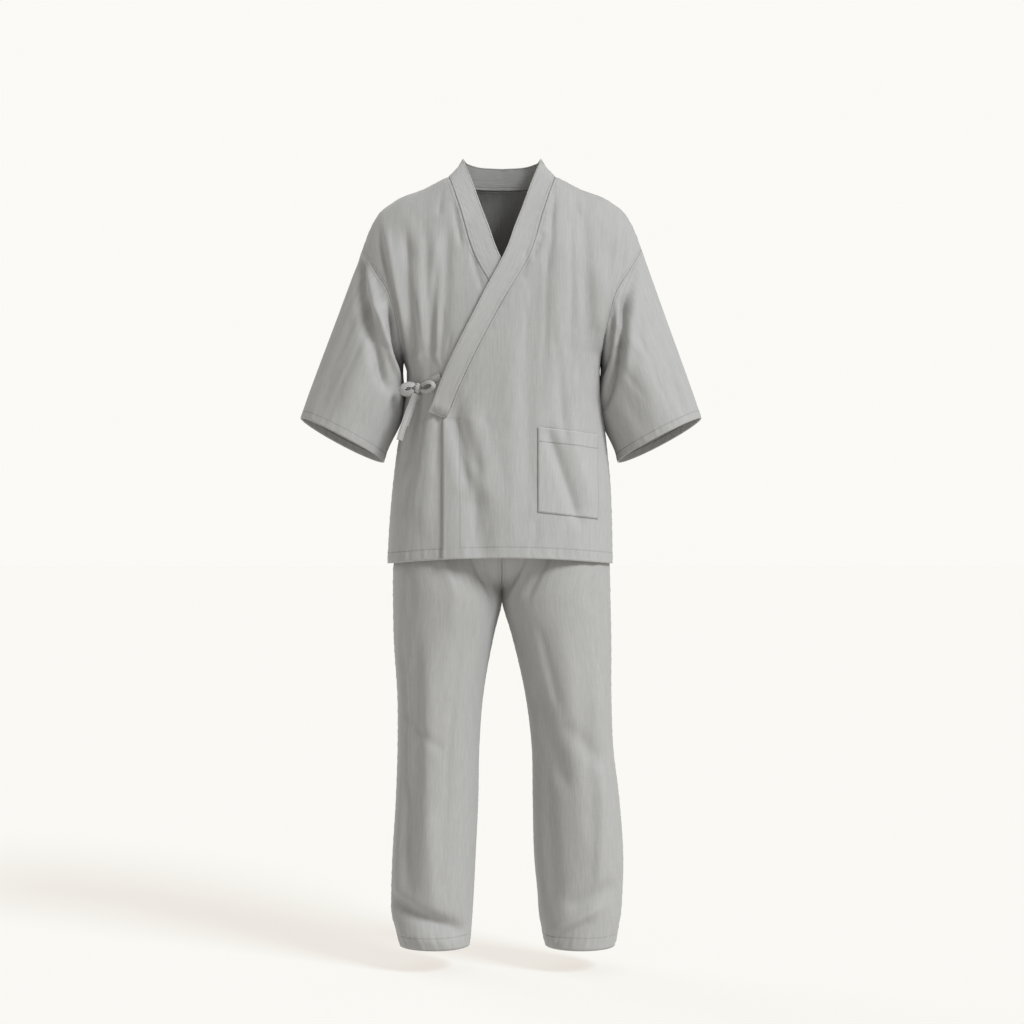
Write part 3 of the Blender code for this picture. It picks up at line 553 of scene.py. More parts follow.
def body_point(level, x, back=False, lift=0.0):
    """A point of the top's body, with its folds, at a level and a place across."""
    side = side_of(x)
    wide = half_width(level, side)
    deep = half_depth(level, back)
    drop = drop_at(level, x, side)
    share = np.clip(np.abs(x) / wide, 0, 1)
    rest = (1 - share**SECTION_POWER) ** (1 / SECTION_POWER)
    turn_x = np.sign(x) * share ** (SECTION_POWER - 1) / wide
    turn_y = -(rest ** (SECTION_POWER - 1)) / np.maximum(deep, LEAST_DEPTH)
    length = np.hypot(turn_x, turn_y)
    tables = (BACK_FOLDS, BACK_CREASES) if back else (FRONT_FOLDS, FRONT_CREASES)
    held = ease((edge_out(level, side) - np.abs(x)) / FOLD_EDGE) * ease(level / FOLD_TOP_LEVEL)
    out = fold_field(tables, x, drop) * held + lift
    y = -deep * rest + out * turn_y / length
    return np.stack([x + out * turn_x / length, -y if back else y, -drop], axis=-1)


def lap_lift(x, drop, over):
    """How far the over front stands off, and the under front sinks in, where they lap."""
    toward = x if over else -x
    zone = ease((LAP_END_X - toward) / LAP_EASE_X) * ease((drop - LAP_START_DROP) / LAP_EASE_DROP)
    return zone * (OVER_LIFT if over else -UNDER_SINK)


def front_point(x, drop, over, extra=0.0):
    """A point of a front at a place in the front view."""
    return body_point(level_at(x, drop, side_of(x)), x, lift=lap_lift(x, drop, over) + extra)


def front_edge_out(drop):
    """A front's free edge: the neck seam, and straight down below the band."""
    seam = np.maximum(look(NECK_SEAM, "out", drop), -FRONT_EDGE_X)
    return np.where(drop > BAND_END_DROP, -FRONT_EDGE_X, seam)


def shoulder_levels(count):
    """Levels from the shoulder line to the underarm, closer near the top where the cloth turns."""
    return np.linspace(0, 1, count + 1) ** LEVEL_POWER


def to_angle(share):
    return np.arcsin(np.clip(share, 0, 1) ** (SECTION_POWER / 2))


def from_angle(angle):
    return np.sin(angle) ** (2 / SECTION_POWER)


def side_angle(level, side, back):
    """Where a row ends at its side: the armhole, the side seam, then a little open at the slit."""
    open_by = SLIT_OPEN * ease((level - SLIT_LEVEL) / (2 - SLIT_LEVEL))
    deep = np.maximum(half_depth(level, back), 0.001)
    seam = np.arccos((open_by / deep) ** (SECTION_POWER / 2))
    return np.minimum(seam, to_angle(edge_out(level, side) / half_width(level, side)))


print("half depth at the underarm:", round(float(half_depth(np.array(1.0), False)), 3))

# %% [markdown]
# ## From a rule to a mesh
#
# Every sheet is a grid. A rule gives the place of each grid point, and the helpers below turn the
# points into a mesh. They also measure how far each point is from the four edges along the cloth.
# Those distances do three jobs: they pucker the cloth beside its seams, they tell the material
# where a hem or a seam is, and they place the rows of stitches. The map is measured along the
# cloth in metres, so that the weave keeps its size and follows the grain.

# %% Grid helpers
PUCKER_WAVES = ((0.0083, 0.5), (0.0127, 0.8), (0.0219, 1.0))
PUCKER_PHASE_STEP = 1.7
PUCKER_CLOSED = 0.35
FAR = 0.5


def grid_of(rule, rows, columns):
    """The rule's points as an array of rows, each with its points across."""
    v, u = np.meshgrid(np.arange(rows + 1) / rows, np.arange(columns + 1) / columns, indexing="ij")
    return rule(u.ravel(), v.ravel()).reshape(rows + 1, columns + 1, 3)


def run_along(grid, axis):
    """The distance along the cloth from the first row or column to each point."""
    steps = np.linalg.norm(np.diff(grid, axis=axis), axis=2)
    start = np.zeros_like(np.take(steps, [0], axis=axis))
    return np.concatenate([start, np.cumsum(steps, axis=axis)], axis=axis)


def edge_runs(grid):
    """Distances from the first column, the last column, the first row and the last row."""
    across, down = run_along(grid, 1), run_along(grid, 0)
    back_across, back_down = across[:, -1:] - across, down[-1:] - down
    return {"start": across, "end": back_across, "top": down, "bottom": back_down}


def grid_normals(grid, outward):
    """The cloth's direction out of the garment. outward is 1 or -1 by the grid's turn."""
    normal = np.cross(np.gradient(grid, axis=1), np.gradient(grid, axis=0))
    return outward * normal / np.maximum(np.linalg.norm(normal, axis=2, keepdims=True), 1e-12)


def pucker(away, along, high, reach, phase, free=False):
    """Small uneven gathers beside a line of sewing. They die out into the cloth, and at a seam."""
    wave = np.zeros_like(along)
    for i, (long, share) in enumerate(PUCKER_WAVES):
        wave += share * np.sin(2 * np.pi * along / long + phase * (PUCKER_PHASE_STEP + i))
    fade = np.exp(-((away / reach) ** 2))
    if not free:
        fade = fade * (1 - np.exp(-((away / (PUCKER_CLOSED * reach)) ** 2)))
    return high * fade * wave / sum(share for _, share in PUCKER_WAVES)


def cloth_mesh(name, grid, marks, first=None, ring=False):
    """A mesh from a grid, with the cloth's map in metres and the distance marks on its points.

    first is where on the map each row begins, if the grain isn't to follow the middle column.
    """
    rows, columns = grid.shape[0] - 1, grid.shape[1] - 1
    index = np.arange((rows + 1) * (columns + 1)).reshape(rows + 1, columns + 1)
    faces = np.stack([index[:-1, :-1], index[1:, :-1], index[1:, 1:], index[:-1, 1:]], axis=-1)
    mesh = bpy.data.meshes.new(name)
    mesh.from_pydata(grid.reshape(-1, 3).tolist(), [], faces.reshape(-1, 4).tolist())
    across, down = run_along(grid, 1), run_along(grid, 0)
    middle = columns // 2
    begin = -across[:, middle] if first is None else first
    length = np.repeat(down[:, middle : middle + 1], columns + 1, 1)
    chart = np.stack([across + begin[:, None], length], -1)
    corners = np.zeros(len(mesh.loops), int)
    mesh.loops.foreach_get("vertex_index", corners)
    layer = mesh.uv_layers.new(name="cut")
    layer.data.foreach_set("uv", chart.reshape(-1, 2)[corners].ravel())
    for mark, values in marks.items():
        slot = mesh.attributes.new(mark, "FLOAT", "POINT")
        slot.data.foreach_set("value", np.clip(values, 0, FAR).ravel())
    if ring:
        build = bmesh.new()
        build.from_mesh(mesh)
        bmesh.ops.remove_doubles(build, verts=build.verts, dist=1e-6)
        build.to_mesh(mesh)
        build.free()
    mesh.shade_smooth()
    return mesh


print("a ripple of", [long for long, _ in PUCKER_WAVES], "metres")

# %% [markdown]
# ## The cloth
#
# The cotton is woven from uneven slub yarns and washed, so it has fine streaks along the grain and
# soft crinkles between them. One node group makes that for every piece. It stretches noise along
# the grain at four sizes, from a crinkle to a single yarn, and gives a tone and a height. A second
# group reads the distance marks. It thickens a hem up to its stitch line and sinks the line itself.
# It also paints shade into the stitch lines and a little right beside a seam, and paints a pale
# highlight along each cut edge.

# %% Slub group
# Lumps in a metre across the grain and along it, and the noise's detail.
GRAIN = {
    "crinkle": (80, 13, 3.0),
    "rib": (340, 24, 2.0),
    "yarn": (900, 60, 1.0),
    "weft": (26, 760, 1.0),
}
RIB_SHARE = 0.55
YARN_SHARE = 0.30
WEFT_SHARE = 0.15
STREAK_TONE = 1.5
CRINKLE_TONE = 0.35
STREAK_HEIGHT = 0.55


def grain_noise(tree, place, across, along, detail):
    """Noise stretched along the grain."""
    scale = {0: place, 1: (across, along, 1)}
    scaled = add_node(tree, "ShaderNodeVectorMath", scale, operation="MULTIPLY")
    inputs = {"Vector": scaled.outputs[0], "Scale": 1.0, "Detail": detail}
    return Flow(tree, add_node(tree, "ShaderNodeTexNoise", inputs).outputs["Fac"])


number = "NodeSocketFloat"
slub_inputs = (
    ("Cut", "NodeSocketVector", None),
    ("Streaks", number, 1.0),
    ("Crinkle", number, 1.0),
)
slub, given, result = new_group("Slub cotton", slub_inputs, (("Tone", number), ("Height", number)))
grain = {name: grain_noise(slub, given.outputs["Cut"], *lumps) for name, lumps in GRAIN.items()}
streaks = grain["rib"] * RIB_SHARE + grain["yarn"] * YARN_SHARE + grain["weft"] * WEFT_SHARE
streaks = (streaks - 0.5) * given.outputs["Streaks"]
folded = (grain["crinkle"] - 0.5) * given.outputs["Crinkle"]
tone = (streaks * STREAK_TONE + folded * CRINKLE_TONE).math("ADD", 0.5, clamp=True)
feed(slub, tone, result.inputs["Tone"])
feed(slub, streaks * STREAK_HEIGHT + folded, result.inputs["Height"])
print("slub group with", len(slub.nodes), "nodes")

# %% Sewing group
GROOVE_WIDE = 0.0019
HEM_STEP = 0.0012
SEAM_WIDE = 0.0022
TOPSTITCH = 0.0062
TOPSTITCH_WIDE = 0.0016
LINE_USUAL = 0.02
DOUBLED_RISE = 0.7
GROOVE_DEEP = 0.55
SEAM_DEEP = 0.5
TOPSTITCH_DEEP = 0.35
GROOVE_SHADE = 0.11
SEAM_SHADE = 0.07
TOPSTITCH_SHADE = 0.06
EDGE_HIGHLIGHT_WIDE = 0.0014

sewing_inputs = (("Hem", number, FAR), ("Seam", number, FAR), ("Line", number, LINE_USUAL))
sewing_outputs = (("Shade", number), ("Highlight", number), ("Height", number))
sewing, given, result = new_group("Sewing", sewing_inputs, sewing_outputs)
hem, seam, line = (Flow(sewing, given.outputs[label]) for label in ("Hem", "Seam", "Line"))
past_line = hem - line
groove = abs(past_line).soft(0.0, GROOVE_WIDE, 1.0, 0.0)
doubled = past_line.soft(-HEM_STEP, HEM_STEP, 1.0, 0.0)
dip = seam.soft(0.0, SEAM_WIDE, 1.0, 0.0)
topstitch = abs(seam - TOPSTITCH).soft(0.0, TOPSTITCH_WIDE, 1.0, 0.0)
relief = doubled * DOUBLED_RISE - groove * GROOVE_DEEP
relief = relief - dip * SEAM_DEEP - topstitch * TOPSTITCH_DEEP
feed(sewing, relief, result.inputs["Height"])
shade = groove * GROOVE_SHADE + dip * SEAM_SHADE + topstitch * TOPSTITCH_SHADE
feed(sewing, shade, result.inputs["Shade"])
# Painted highlight: a mask that paints the cloth paler right along each cut edge.
feed(sewing, hem.soft(0.0, EDGE_HIGHLIGHT_WIDE, 1.0, 0.0), result.inputs["Highlight"])
print("sewing group with", len(sewing.nodes), "nodes")

# %% Cloth materials
CLOTH_GREY = 0.345
YARN_DARK = 0.86
YARN_PALE = 1.14
# The painted edge highlight: how much paler it is, and how much of it is laid on.
EDGE_HIGHLIGHT_PALE = 1.5
EDGE_HIGHLIGHT_BLUE = 1.46
EDGE_HIGHLIGHT_SHARE = 0.6
BLUE_SHARE = 0.99
BLACK = (0.0, 0.0, 0.0, 1)
RELIEF_DEEP = 0.0009
RELIEF_STRENGTH = 0.9
ROUGH_DARK = 0.94
ROUGH_PALE = 0.80
COTTON_SHINE = {"Specular IOR Level": 0.25, "Sheen Weight": 0.12, "Sheen Roughness": 0.45}
TOP_HEM = 0.020
SLEEVE_HEM = 0.014
LEG_HEM = 0.024
POCKET_HEM = 0.026
BAND_EDGE = 0.0026
TAPE_EDGE = 0.0016


def cotton(name, grey, line, crinkle=1.0, warm=0.0):
    """One finish of the same cotton. line is how far in from an edge its hem is stitched."""
    material, tree, finish = new_material(name)
    chart = add_node(tree, "ShaderNodeUVMap", uv_map="cut")
    yarns = {"Cut": chart.outputs["UV"], "Streaks": 1.0, "Crinkle": crinkle}
    weave = add_node(tree, "ShaderNodeGroup", yarns, node_tree=slub)
    hem, seam = (add_node(tree, "ShaderNodeAttribute", attribute_name=m) for m in ("hem", "seam"))
    marks = {"Hem": hem.outputs["Fac"], "Seam": seam.outputs["Fac"], "Line": line}
    sewn = add_node(tree, "ShaderNodeGroup", marks, node_tree=sewing)
    dark, pale = (
        (tone * (1 + warm), tone, tone * (BLUE_SHARE - warm), 1)
        for tone in (grey * YARN_DARK, grey * YARN_PALE)
    )
    # The painted edge highlight: a paler grey laid along each cut edge.
    edge = (grey * EDGE_HIGHLIGHT_PALE, grey * EDGE_HIGHLIGHT_PALE, grey * EDGE_HIGHLIGHT_BLUE, 1)
    colour = blend(tree, weave.outputs["Tone"], dark, pale)
    colour = blend(tree, sewn.outputs["Shade"], colour, BLACK)
    colour = blend(tree, Flow(tree, sewn.outputs["Highlight"]) * EDGE_HIGHLIGHT_SHARE, colour, edge)
    height = Flow(tree, weave.outputs["Height"]) + sewn.outputs["Height"]
    bump = {"Strength": RELIEF_STRENGTH, "Distance": RELIEF_DEEP, "Height": height}
    rough = Flow(tree, weave.outputs["Tone"]).soft(0.0, 1.0, ROUGH_DARK, ROUGH_PALE)
    normal = add_node(tree, "ShaderNodeBump", bump).outputs["Normal"]
    finish({"Base Color": colour, "Normal": normal, "Roughness": rough, **COTTON_SHINE})
    return material


top_cotton = cotton("top_cotton", CLOTH_GREY, TOP_HEM)
sleeve_cotton = cotton("sleeve_cotton", CLOTH_GREY, SLEEVE_HEM)
band_cotton = cotton("band_cotton", CLOTH_GREY * 1.04, BAND_EDGE, crinkle=0.6)
pocket_cotton = cotton("pocket_cotton", CLOTH_GREY * 1.02, POCKET_HEM, crinkle=0.7)
tie_cotton = cotton("tie_cotton", CLOTH_GREY * 1.03, TAPE_EDGE, crinkle=0.4)
leg_cotton = cotton("trouser_cotton", CLOTH_GREY * 0.96, LEG_HEM, warm=0.004)
print("cotton finishes:", [m.name for m in bpy.data.materials if m.name.endswith("cotton")])

# %% [markdown]
# ## Dressing a solid
#
# Each piece of the garment was cut flat, so each shell is made as a sheet, and the size of its cut,
# measured along the cloth, is printed. It takes the place of its solid, and keeps the solid's name
# with the word cloth in front. Solidify gives it its wall, and is left live: it is exact and cheap.

# %% The sheet
THREAD_RAISE = 0.0001
SEWN_LINES = {"top": [], "trousers": []}


def cut_size(grid):
    """The flat width, length and area of a piece, measured along its own rows and columns."""
    width = float(run_along(grid, 1)[:, -1].max())
    length = float(run_along(grid, 0)[-1].max())
    cell_across = grid[:-1, 1:] - grid[:-1, :-1]
    cell_down = grid[1:, :-1] - grid[:-1, :-1]
    area = float(np.linalg.norm(np.cross(cell_across, cell_down), axis=2).sum())
    return width, length, min(area, width * length)


def place(name, mesh, slot):
    """An object of the dressed set, which rides on the one body."""
    piece = bpy.data.objects.new(name, mesh)
    scene.collection.objects.link(piece)
    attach(piece, "root")
    return piece


class Sheet:
    """A cut piece of cloth on its grid, with its directions and its distances from its edges."""

    def __init__(self, node, grid, outward, wall=WALL):
        self.node, self.grid, self.wall = node, grid, wall
        self.normals, self.runs = grid_normals(grid, outward), edge_runs(grid)
        self.relief = np.zeros(grid.shape[:2])

    def gather(self, away, along, high, reach, phase, share=1, free=False):
        """Adds gathers beside an edge, given by its name or by the distances from it."""
        away, along = (self.runs[run] if isinstance(run, str) else run for run in (away, along))
        self.relief += share * pucker(away, along, high, reach, phase, free)

    def nearest(self, *edges):
        return np.minimum.reduce([self.runs[edge] for edge in edges])

    def nowhere(self):
        return np.full(self.grid.shape[:2], FAR)

    def dress(self, hem, seam, material, slot, held, rests_on=(), **mesh_options):
        """Puts the shell in the scene for its solid, with its wall, finish and flat size."""
        self.grid = self.grid + self.normals * self.relief[..., None]
        name = "cloth_" + self.node
        mesh = cloth_mesh(name, self.grid, {"hem": hem, "seam": seam}, **mesh_options)
        mesh.materials.append(material)
        piece = place(name, mesh, slot)
        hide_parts(self.node)
        solid = piece.modifiers.new("Wall", "SOLIDIFY")
        solid.thickness = self.wall
        solid.offset = 0.0
        width, length, area = cut_size(self.grid)
        print(f"{self.node}: cut {width:.3f} by {length:.3f} m, {area:.3f} square metres")

    def sew(self, away, edge, kept=slice(None), garment="top"):
        """Keeps a line of sewing at a distance from an edge, for the stitches made last."""
        runs = edge_runs(self.grid)[edge]
        raised = self.grid + self.normals * (self.wall / 2 + THREAD_RAISE)
        if edge in ("top", "bottom"):
            runs, raised = runs.T, raised.swapaxes(0, 1)
        if edge in ("end", "bottom"):
            runs, raised = runs[:, ::-1], raised[:, ::-1]
        points = [
            [np.interp(away, run, row[:, axis]) for axis in range(3)]
            for run, row in zip(runs, raised)
            if run.max() >= away
        ][kept]
        if len(points) > 1:
            SEWN_LINES[garment].append(np.array(points))


print("garments to sew:", list(SEWN_LINES))

# %% [markdown]
# ## The two fronts
#
# A front is cut straight down its edge, slanted along the neck and curved at the armhole. Its rows
# follow the levels of the body and its columns run from the edge to the side. The lower front edge
# has a wide facing behind it, whose stitching shows as a line, and a slit is left open at the hem.

# %% Front panels
FRONT_ROWS = 190
FRONT_COLUMNS = 92
BETWEEN_ROWS = 6
FACING = 0.031
SLIT_HEM = 0.008
SEAM_ROWS = (0.0024, TOPSTITCH)
PUCKER = 0.0011
HEM_PUCKER = 0.0021
HEM_REACH = 0.020


def row_start(level, side):
    """Where a front's row begins: its free edge. Positive is towards its own side."""
    far = np.full(np.shape(level), EDGE_SEARCH_X)

    def inside(x):
        return x > front_edge_out(drop_at(level, x, side * side_of(x)))

    return halving(-far, far, inside)


def across_body(level, start, side, share):
    """Places across from a start to the side edge, spaced by how much the section turns."""
    wide = half_width(level, side)
    first = np.sign(start) * to_angle(np.abs(start) / wide)
    angle = first + (side_angle(level, side, False) - first) * share
    return np.sign(angle) * wide * from_angle(np.abs(angle))


def band_corner(side):
    """The level where a front's neck seam ends."""
    return float(level_at(np.array(-FRONT_EDGE_X), np.array(BAND_END_DROP), -side))


def front_levels(side, rows):
    """The levels of a front's rows, with one at the corner where the neck seam ends."""
    corner = band_corner(side)
    lower = round(rows * LOWER_ROWS_SHARE)
    below = np.linspace(corner, 2, lower + 1)[1:]
    between = np.linspace(1, corner, BETWEEN_ROWS + 1)[1:]
    return np.concatenate([shoulder_levels(rows - lower - BETWEEN_ROWS), between, below])


def front_rule(side, levels):
    def rule(u, v):
        level = levels[np.rint(v * FRONT_ROWS).astype(int)]
        x = side * across_body(level, row_start(level, side), side, u)
        lift = lap_lift(x, drop_at(level, x, side_of(x)), side > 0)
        return body_point(level, x, lift=lift)

    return rule


for node, side, phase in (("top_front_over", 1, 0.7), ("top_front_under", -1, 2.9)):
    levels = front_levels(side, FRONT_ROWS)
    front = Sheet(node, grid_of(front_rule(side, levels), FRONT_ROWS, FRONT_COLUMNS), -side)
    runs = front.runs
    level = np.repeat(levels[:, None], FRONT_COLUMNS + 1, 1)
    free, slit = level >= band_corner(side), level > SLIT_LEVEL
    # The facing and the slit are scaled so that one stitch line in the cloth serves every hem.
    facing = np.where(free, runs["start"] * TOP_HEM / FACING, FAR)
    vent = np.where(slit, runs["end"] * TOP_HEM / SLIT_HEM, FAR)
    hem = np.minimum(np.minimum(runs["bottom"], facing), vent)
    neck, side_seam = np.where(free, FAR, runs["start"]), np.where(slit, FAR, runs["end"])
    seam = np.minimum(np.minimum(neck, side_seam), runs["top"])
    front.gather("bottom", "start", HEM_PUCKER, HEM_REACH, phase)
    front.gather("start", "top", PUCKER, 0.016, phase + 1, share=np.where(free, 0, 1))
    front.gather("end", "top", 0.8 * PUCKER, 0.014, phase + 2)
    front.gather("top", "start", 0.6 * PUCKER, 0.012, phase + 3)
    front.dress(hem, seam, top_cotton, "top_cloth", "hung", first=row_start(levels, side))
    front.sew(TOP_HEM, "bottom")
    front.sew(FACING, "start", slice(int(np.argmax(free[:, 0])), None))
    for away in SEAM_ROWS:
        front.sew(away, "end", slice(int(np.argmax(levels >= 1))))
    front.sew(SLIT_HEM, "end", slice(int(np.argmax(levels > SLIT_LEVEL)), None))

# %% [markdown]
# ## The back
#
# The back is one piece, from cuff seam to cuff seam. Its middle columns keep to the neck points and
# follow the hollow of the neckline, and the outer ones run to the armholes.

# %% Back panel
BACK_ROWS = 150
BACK_SIDE_COLUMNS = 44
BACK_NECK_CELLS = 20
BACK_NECK_COLUMNS = 2 * BACK_NECK_CELLS
BACK_COLUMNS = 2 * BACK_SIDE_COLUMNS + BACK_NECK_COLUMNS

upper_rows = BACK_ROWS // 2
lower_levels = np.linspace(1, 2, BACK_ROWS - upper_rows + 1)[1:]
back_levels = np.concatenate([shoulder_levels(upper_rows), lower_levels])


def back_neck_level(x):
    return BACK_NECK_LEVEL * np.sqrt(np.clip(1 - (x / NECK_X) ** 2, 0, 1))


def back_rule(u, v):
    outer = np.linspace(0, 1, BACK_SIDE_COLUMNS + 1)[1:]
    inner = np.sin(np.linspace(-np.pi / 2, np.pi / 2, BACK_NECK_COLUMNS + 1))
    index = np.rint(u * BACK_COLUMNS).astype(int) - BACK_SIDE_COLUMNS
    level = back_levels[np.rint(v * BACK_ROWS).astype(int)]
    side = np.where(index * 2 > BACK_NECK_COLUMNS, 1, -1)
    wide = half_width(level, side)
    neck = NECK_X / SHOULDER_X * edge_out(level, side)
    inside = (index >= 0) & (index <= BACK_NECK_COLUMNS)
    x_in = inner[np.clip(index, 0, BACK_NECK_COLUMNS)] * neck
    past = np.where(side > 0, index - BACK_NECK_COLUMNS, -index)
    first, last = to_angle(neck / wide), side_angle(level, side, True)
    angle = first + (last - first) * outer[np.clip(past - 1, 0, BACK_SIDE_COLUMNS - 1)]
    x = np.where(inside, x_in, side * wide * from_angle(angle))
    top = back_neck_level(np.where(inside, x_in * NECK_X / neck, NECK_X))
    raised = top + (2 - top) * level / 2
    near = ease(1 - level / NECK_ROWS_LEVEL)
    return body_point(np.where(inside, level + (raised - level) * near, level), x, back=True)


back = Sheet("top_back", grid_of(back_rule, BACK_ROWS, BACK_COLUMNS), 1)
slit = np.repeat(back_levels[:, None], BACK_COLUMNS + 1, 1) > SLIT_LEVEL
sides = back.nearest("start", "end")
vent = np.where(slit, sides * TOP_HEM / SLIT_HEM, FAR)
seam = np.minimum(np.where(slit, FAR, sides), back.runs["top"])
back.gather("bottom", "start", HEM_PUCKER, HEM_REACH, 4.1)
back.gather(sides, "top", 0.8 * PUCKER, 0.014, 5.2)
back.gather("top", "start", 0.6 * PUCKER, 0.012, 6.3)
back.dress(np.minimum(back.runs["bottom"], vent), seam, top_cotton, "top_cloth", "hung")
back.sew(TOP_HEM, "bottom")
for edge in ("start", "end"):
    for away in SEAM_ROWS:
        back.sew(away, edge, slice(int(np.argmax(back_levels >= 1))))
    back.sew(SLIT_HEM, edge, slice(int(np.argmax(back_levels > SLIT_LEVEL)), None))

# %% [markdown]
# ## Sleeves
#
# A sleeve is one piece, folded along the top of the arm and sewn under it. It starts along the
# armhole and ends in a wide open cuff, a tilted oval. The grid runs round the arm one way and along
# it the other. Its folds are written as how far round and how far along they lie.

# %% Sleeves
CUFF_X = 0.300
CUFF_DROP = 0.493
CUFF_HALF_LONG = 0.0877
CUFF_HALF_DEEP = 0.078
CUFF_TILT = math.atan2(0.080, 0.156)
CUFF_BACK_DROP = 0.15
CUFF_FRONT_RISE = 0.10
CUFF_LEFT_IN = 0.004
SLEEVE_SAG = 0.0200
SLEEVE_BELLY = 0.010
SLEEVE_TUCK = 0.0008
SLEEVE_FOLD_START = 0.15
SLEEVE_HALF = 66
SLEEVE_ROWS = 96
SLEEVE_STRETCH = 0.5
SLEEVE_BEND_EDGE = 0.05
SLEEVE_BEND_START = 0.07

# Round is 0 at the underarm, 0.25 at the front and 0.5 on top. Along is 0 at the armhole.
SLEEVE_FOLDS = table(
    "round0 along0 round1 along1 half rise",
    (0.12, 0.05, 0.20, 0.95, 0.035, -0.0065),
    (0.25, 0.02, 0.27, 0.80, 0.035, 0.0050),
    (0.37, 0.30, 0.35, 0.95, 0.030, -0.0040),
    (0.88, 0.05, 0.80, 0.95, 0.035, -0.0065),
    (0.72, 0.02, 0.72, 0.85, 0.035, 0.0050),
    (0.62, 0.10, 0.63, 0.90, 0.032, -0.0040),
)
SLEEVE_CREASES = table(
    "round0 along0 round1 along1 half rise",
    (0.16, 0.10, 0.24, 0.70, 0.010, -0.0022),
    (0.21, 0.05, 0.30, 0.55, 0.010, 0.0018),
    (0.30, 0.25, 0.31, 0.95, 0.011, -0.0018),
    (0.34, 0.25, 0.36, 0.70, 0.012, 0.0016),
    (0.42, 0.10, 0.42, 0.80, 0.011, -0.0016),
    (0.46, 0.30, 0.47, 0.95, 0.012, 0.0014),
    (0.55, 0.15, 0.56, 0.85, 0.012, -0.0016),
    (0.67, 0.10, 0.66, 0.80, 0.011, 0.0016),
    (0.76, 0.15, 0.74, 0.90, 0.011, -0.0018),
    (0.83, 0.05, 0.77, 0.65, 0.010, 0.0018),
    (0.10, 0.15, 0.26, 0.32, 0.010, -0.0022),
    (0.90, 0.15, 0.74, 0.34, 0.010, -0.0022),
)

# The deep folds where a sleeve bends in beside the body, by side: they differ, as worn.
SLEEVE_BENDS = {
    1: table(
        "round0 along0 round1 along1 half rise",
        (0.420, 0.00, 0.260, 0.17, 0.024, -0.0100),
        (0.300, 0.11, 0.080, 0.52, 0.026, -0.0150),
        (0.370, 0.05, 0.200, 0.50, 0.026, 0.0055),
        (0.220, 0.05, 0.060, 0.20, 0.030, -0.0070),
        (0.400, 0.45, 0.360, 0.98, 0.020, -0.0030),
        (0.590, 0.00, 0.730, 0.18, 0.024, -0.0090),
        (0.700, 0.12, 0.900, 0.54, 0.026, -0.0120),
        (0.640, 0.06, 0.820, 0.56, 0.026, 0.0070),
    ),
    -1: table(
        "round0 along0 round1 along1 half rise",
        (0.470, 0.02, 0.330, 0.26, 0.030, -0.0110),
        (0.350, 0.20, 0.150, 0.50, 0.032, -0.0140),
        (0.400, 0.00, 0.280, 0.18, 0.022, 0.0070),
        (0.310, 0.13, 0.090, 0.29, 0.024, 0.0100),
        (0.250, 0.05, 0.020, 0.12, 0.032, -0.0150),
        (0.560, 0.02, 0.680, 0.24, 0.028, -0.0100),
        (0.660, 0.20, 0.860, 0.52, 0.030, -0.0120),
        (0.610, 0.03, 0.760, 0.22, 0.022, 0.0060),
    ),
}


def cuff_point(angle, side):
    """The sleeve's open end: a tilted oval, lower at the back. Angle 0 is its inner corner."""
    along = CUFF_HALF_LONG * np.cos(angle)
    deep = -CUFF_HALF_DEEP * np.sin(angle)
    x = CUFF_X - CUFF_LEFT_IN * (side > 0) - along * math.cos(CUFF_TILT)
    z = -CUFF_DROP - along * math.sin(CUFF_TILT)
    z = z - CUFF_BACK_DROP * np.maximum(deep, 0) - CUFF_FRONT_RISE * np.minimum(deep, 0)
    return np.stack([side * x, deep, z], axis=-1)


def sleeve_rule(side):
    """A sleeve's rule: it starts at the armhole's own levels, tucked a little under the body."""
    levels = shoulder_levels(SLEEVE_HALF)[::-1]
    ring = np.concatenate([levels, levels[::-1][1:]])
    front = np.arange(len(ring)) <= SLEEVE_HALF
    out = edge_out(ring, side)
    share = np.clip(look(BODY, "share", ring), 0, 1)
    share[[0, -1]] = 0
    deep = np.where(front, -half_depth(ring, False), half_depth(ring, True)) * share
    arm = np.stack([side * out, deep, -drop_at(ring, out, side)], axis=-1)
    steps = np.linalg.norm(np.diff(arm, axis=0), axis=1)
    around = np.concatenate([[0], np.cumsum(steps)]) / steps.sum()
    half = around[SLEEVE_HALF]
    turns = np.where(front, around / half / 2, 0.5 + (around - half) / (1 - half) / 2)
    cuff = cuff_point(2 * np.pi * turns, side)
    way = (cuff - arm) / np.linalg.norm(cuff - arm, axis=1)[:, None]

    def rule(u, v):
        i = np.rint(u * 2 * SLEEVE_HALF).astype(int)
        turn, angle = turns[i], 2 * np.pi * turns[i]
        start = arm[i] - way[i] * SLEEVE_TUCK
        point = start + (cuff[i] - start) * v[:, None]
        under = (0.5 + 0.5 * np.cos(angle)) ** 2
        point[:, 0] -= side * SLEEVE_SAG * np.sin(np.pi * v) ** 2 * under
        point[:, 1] -= SLEEVE_BELLY * np.sin(np.pi * v) * np.sin(angle)
        folds = fold_field((SLEEVE_FOLDS, SLEEVE_CREASES), turn, v, SLEEVE_STRETCH)
        bends = fold_field((SLEEVE_BENDS[side],), turn, v, SLEEVE_STRETCH)
        bends = bends * ease(np.minimum(turn, 1 - turn) / SLEEVE_BEND_EDGE)
        out = folds * (1 - under) * ease(v / SLEEVE_FOLD_START)
        out = out + bends * ease(v / SLEEVE_BEND_START)
        point[:, :2] += out[:, None] * np.stack([-np.cos(angle) * side, -np.sin(angle)], -1)
        return point

    return rule


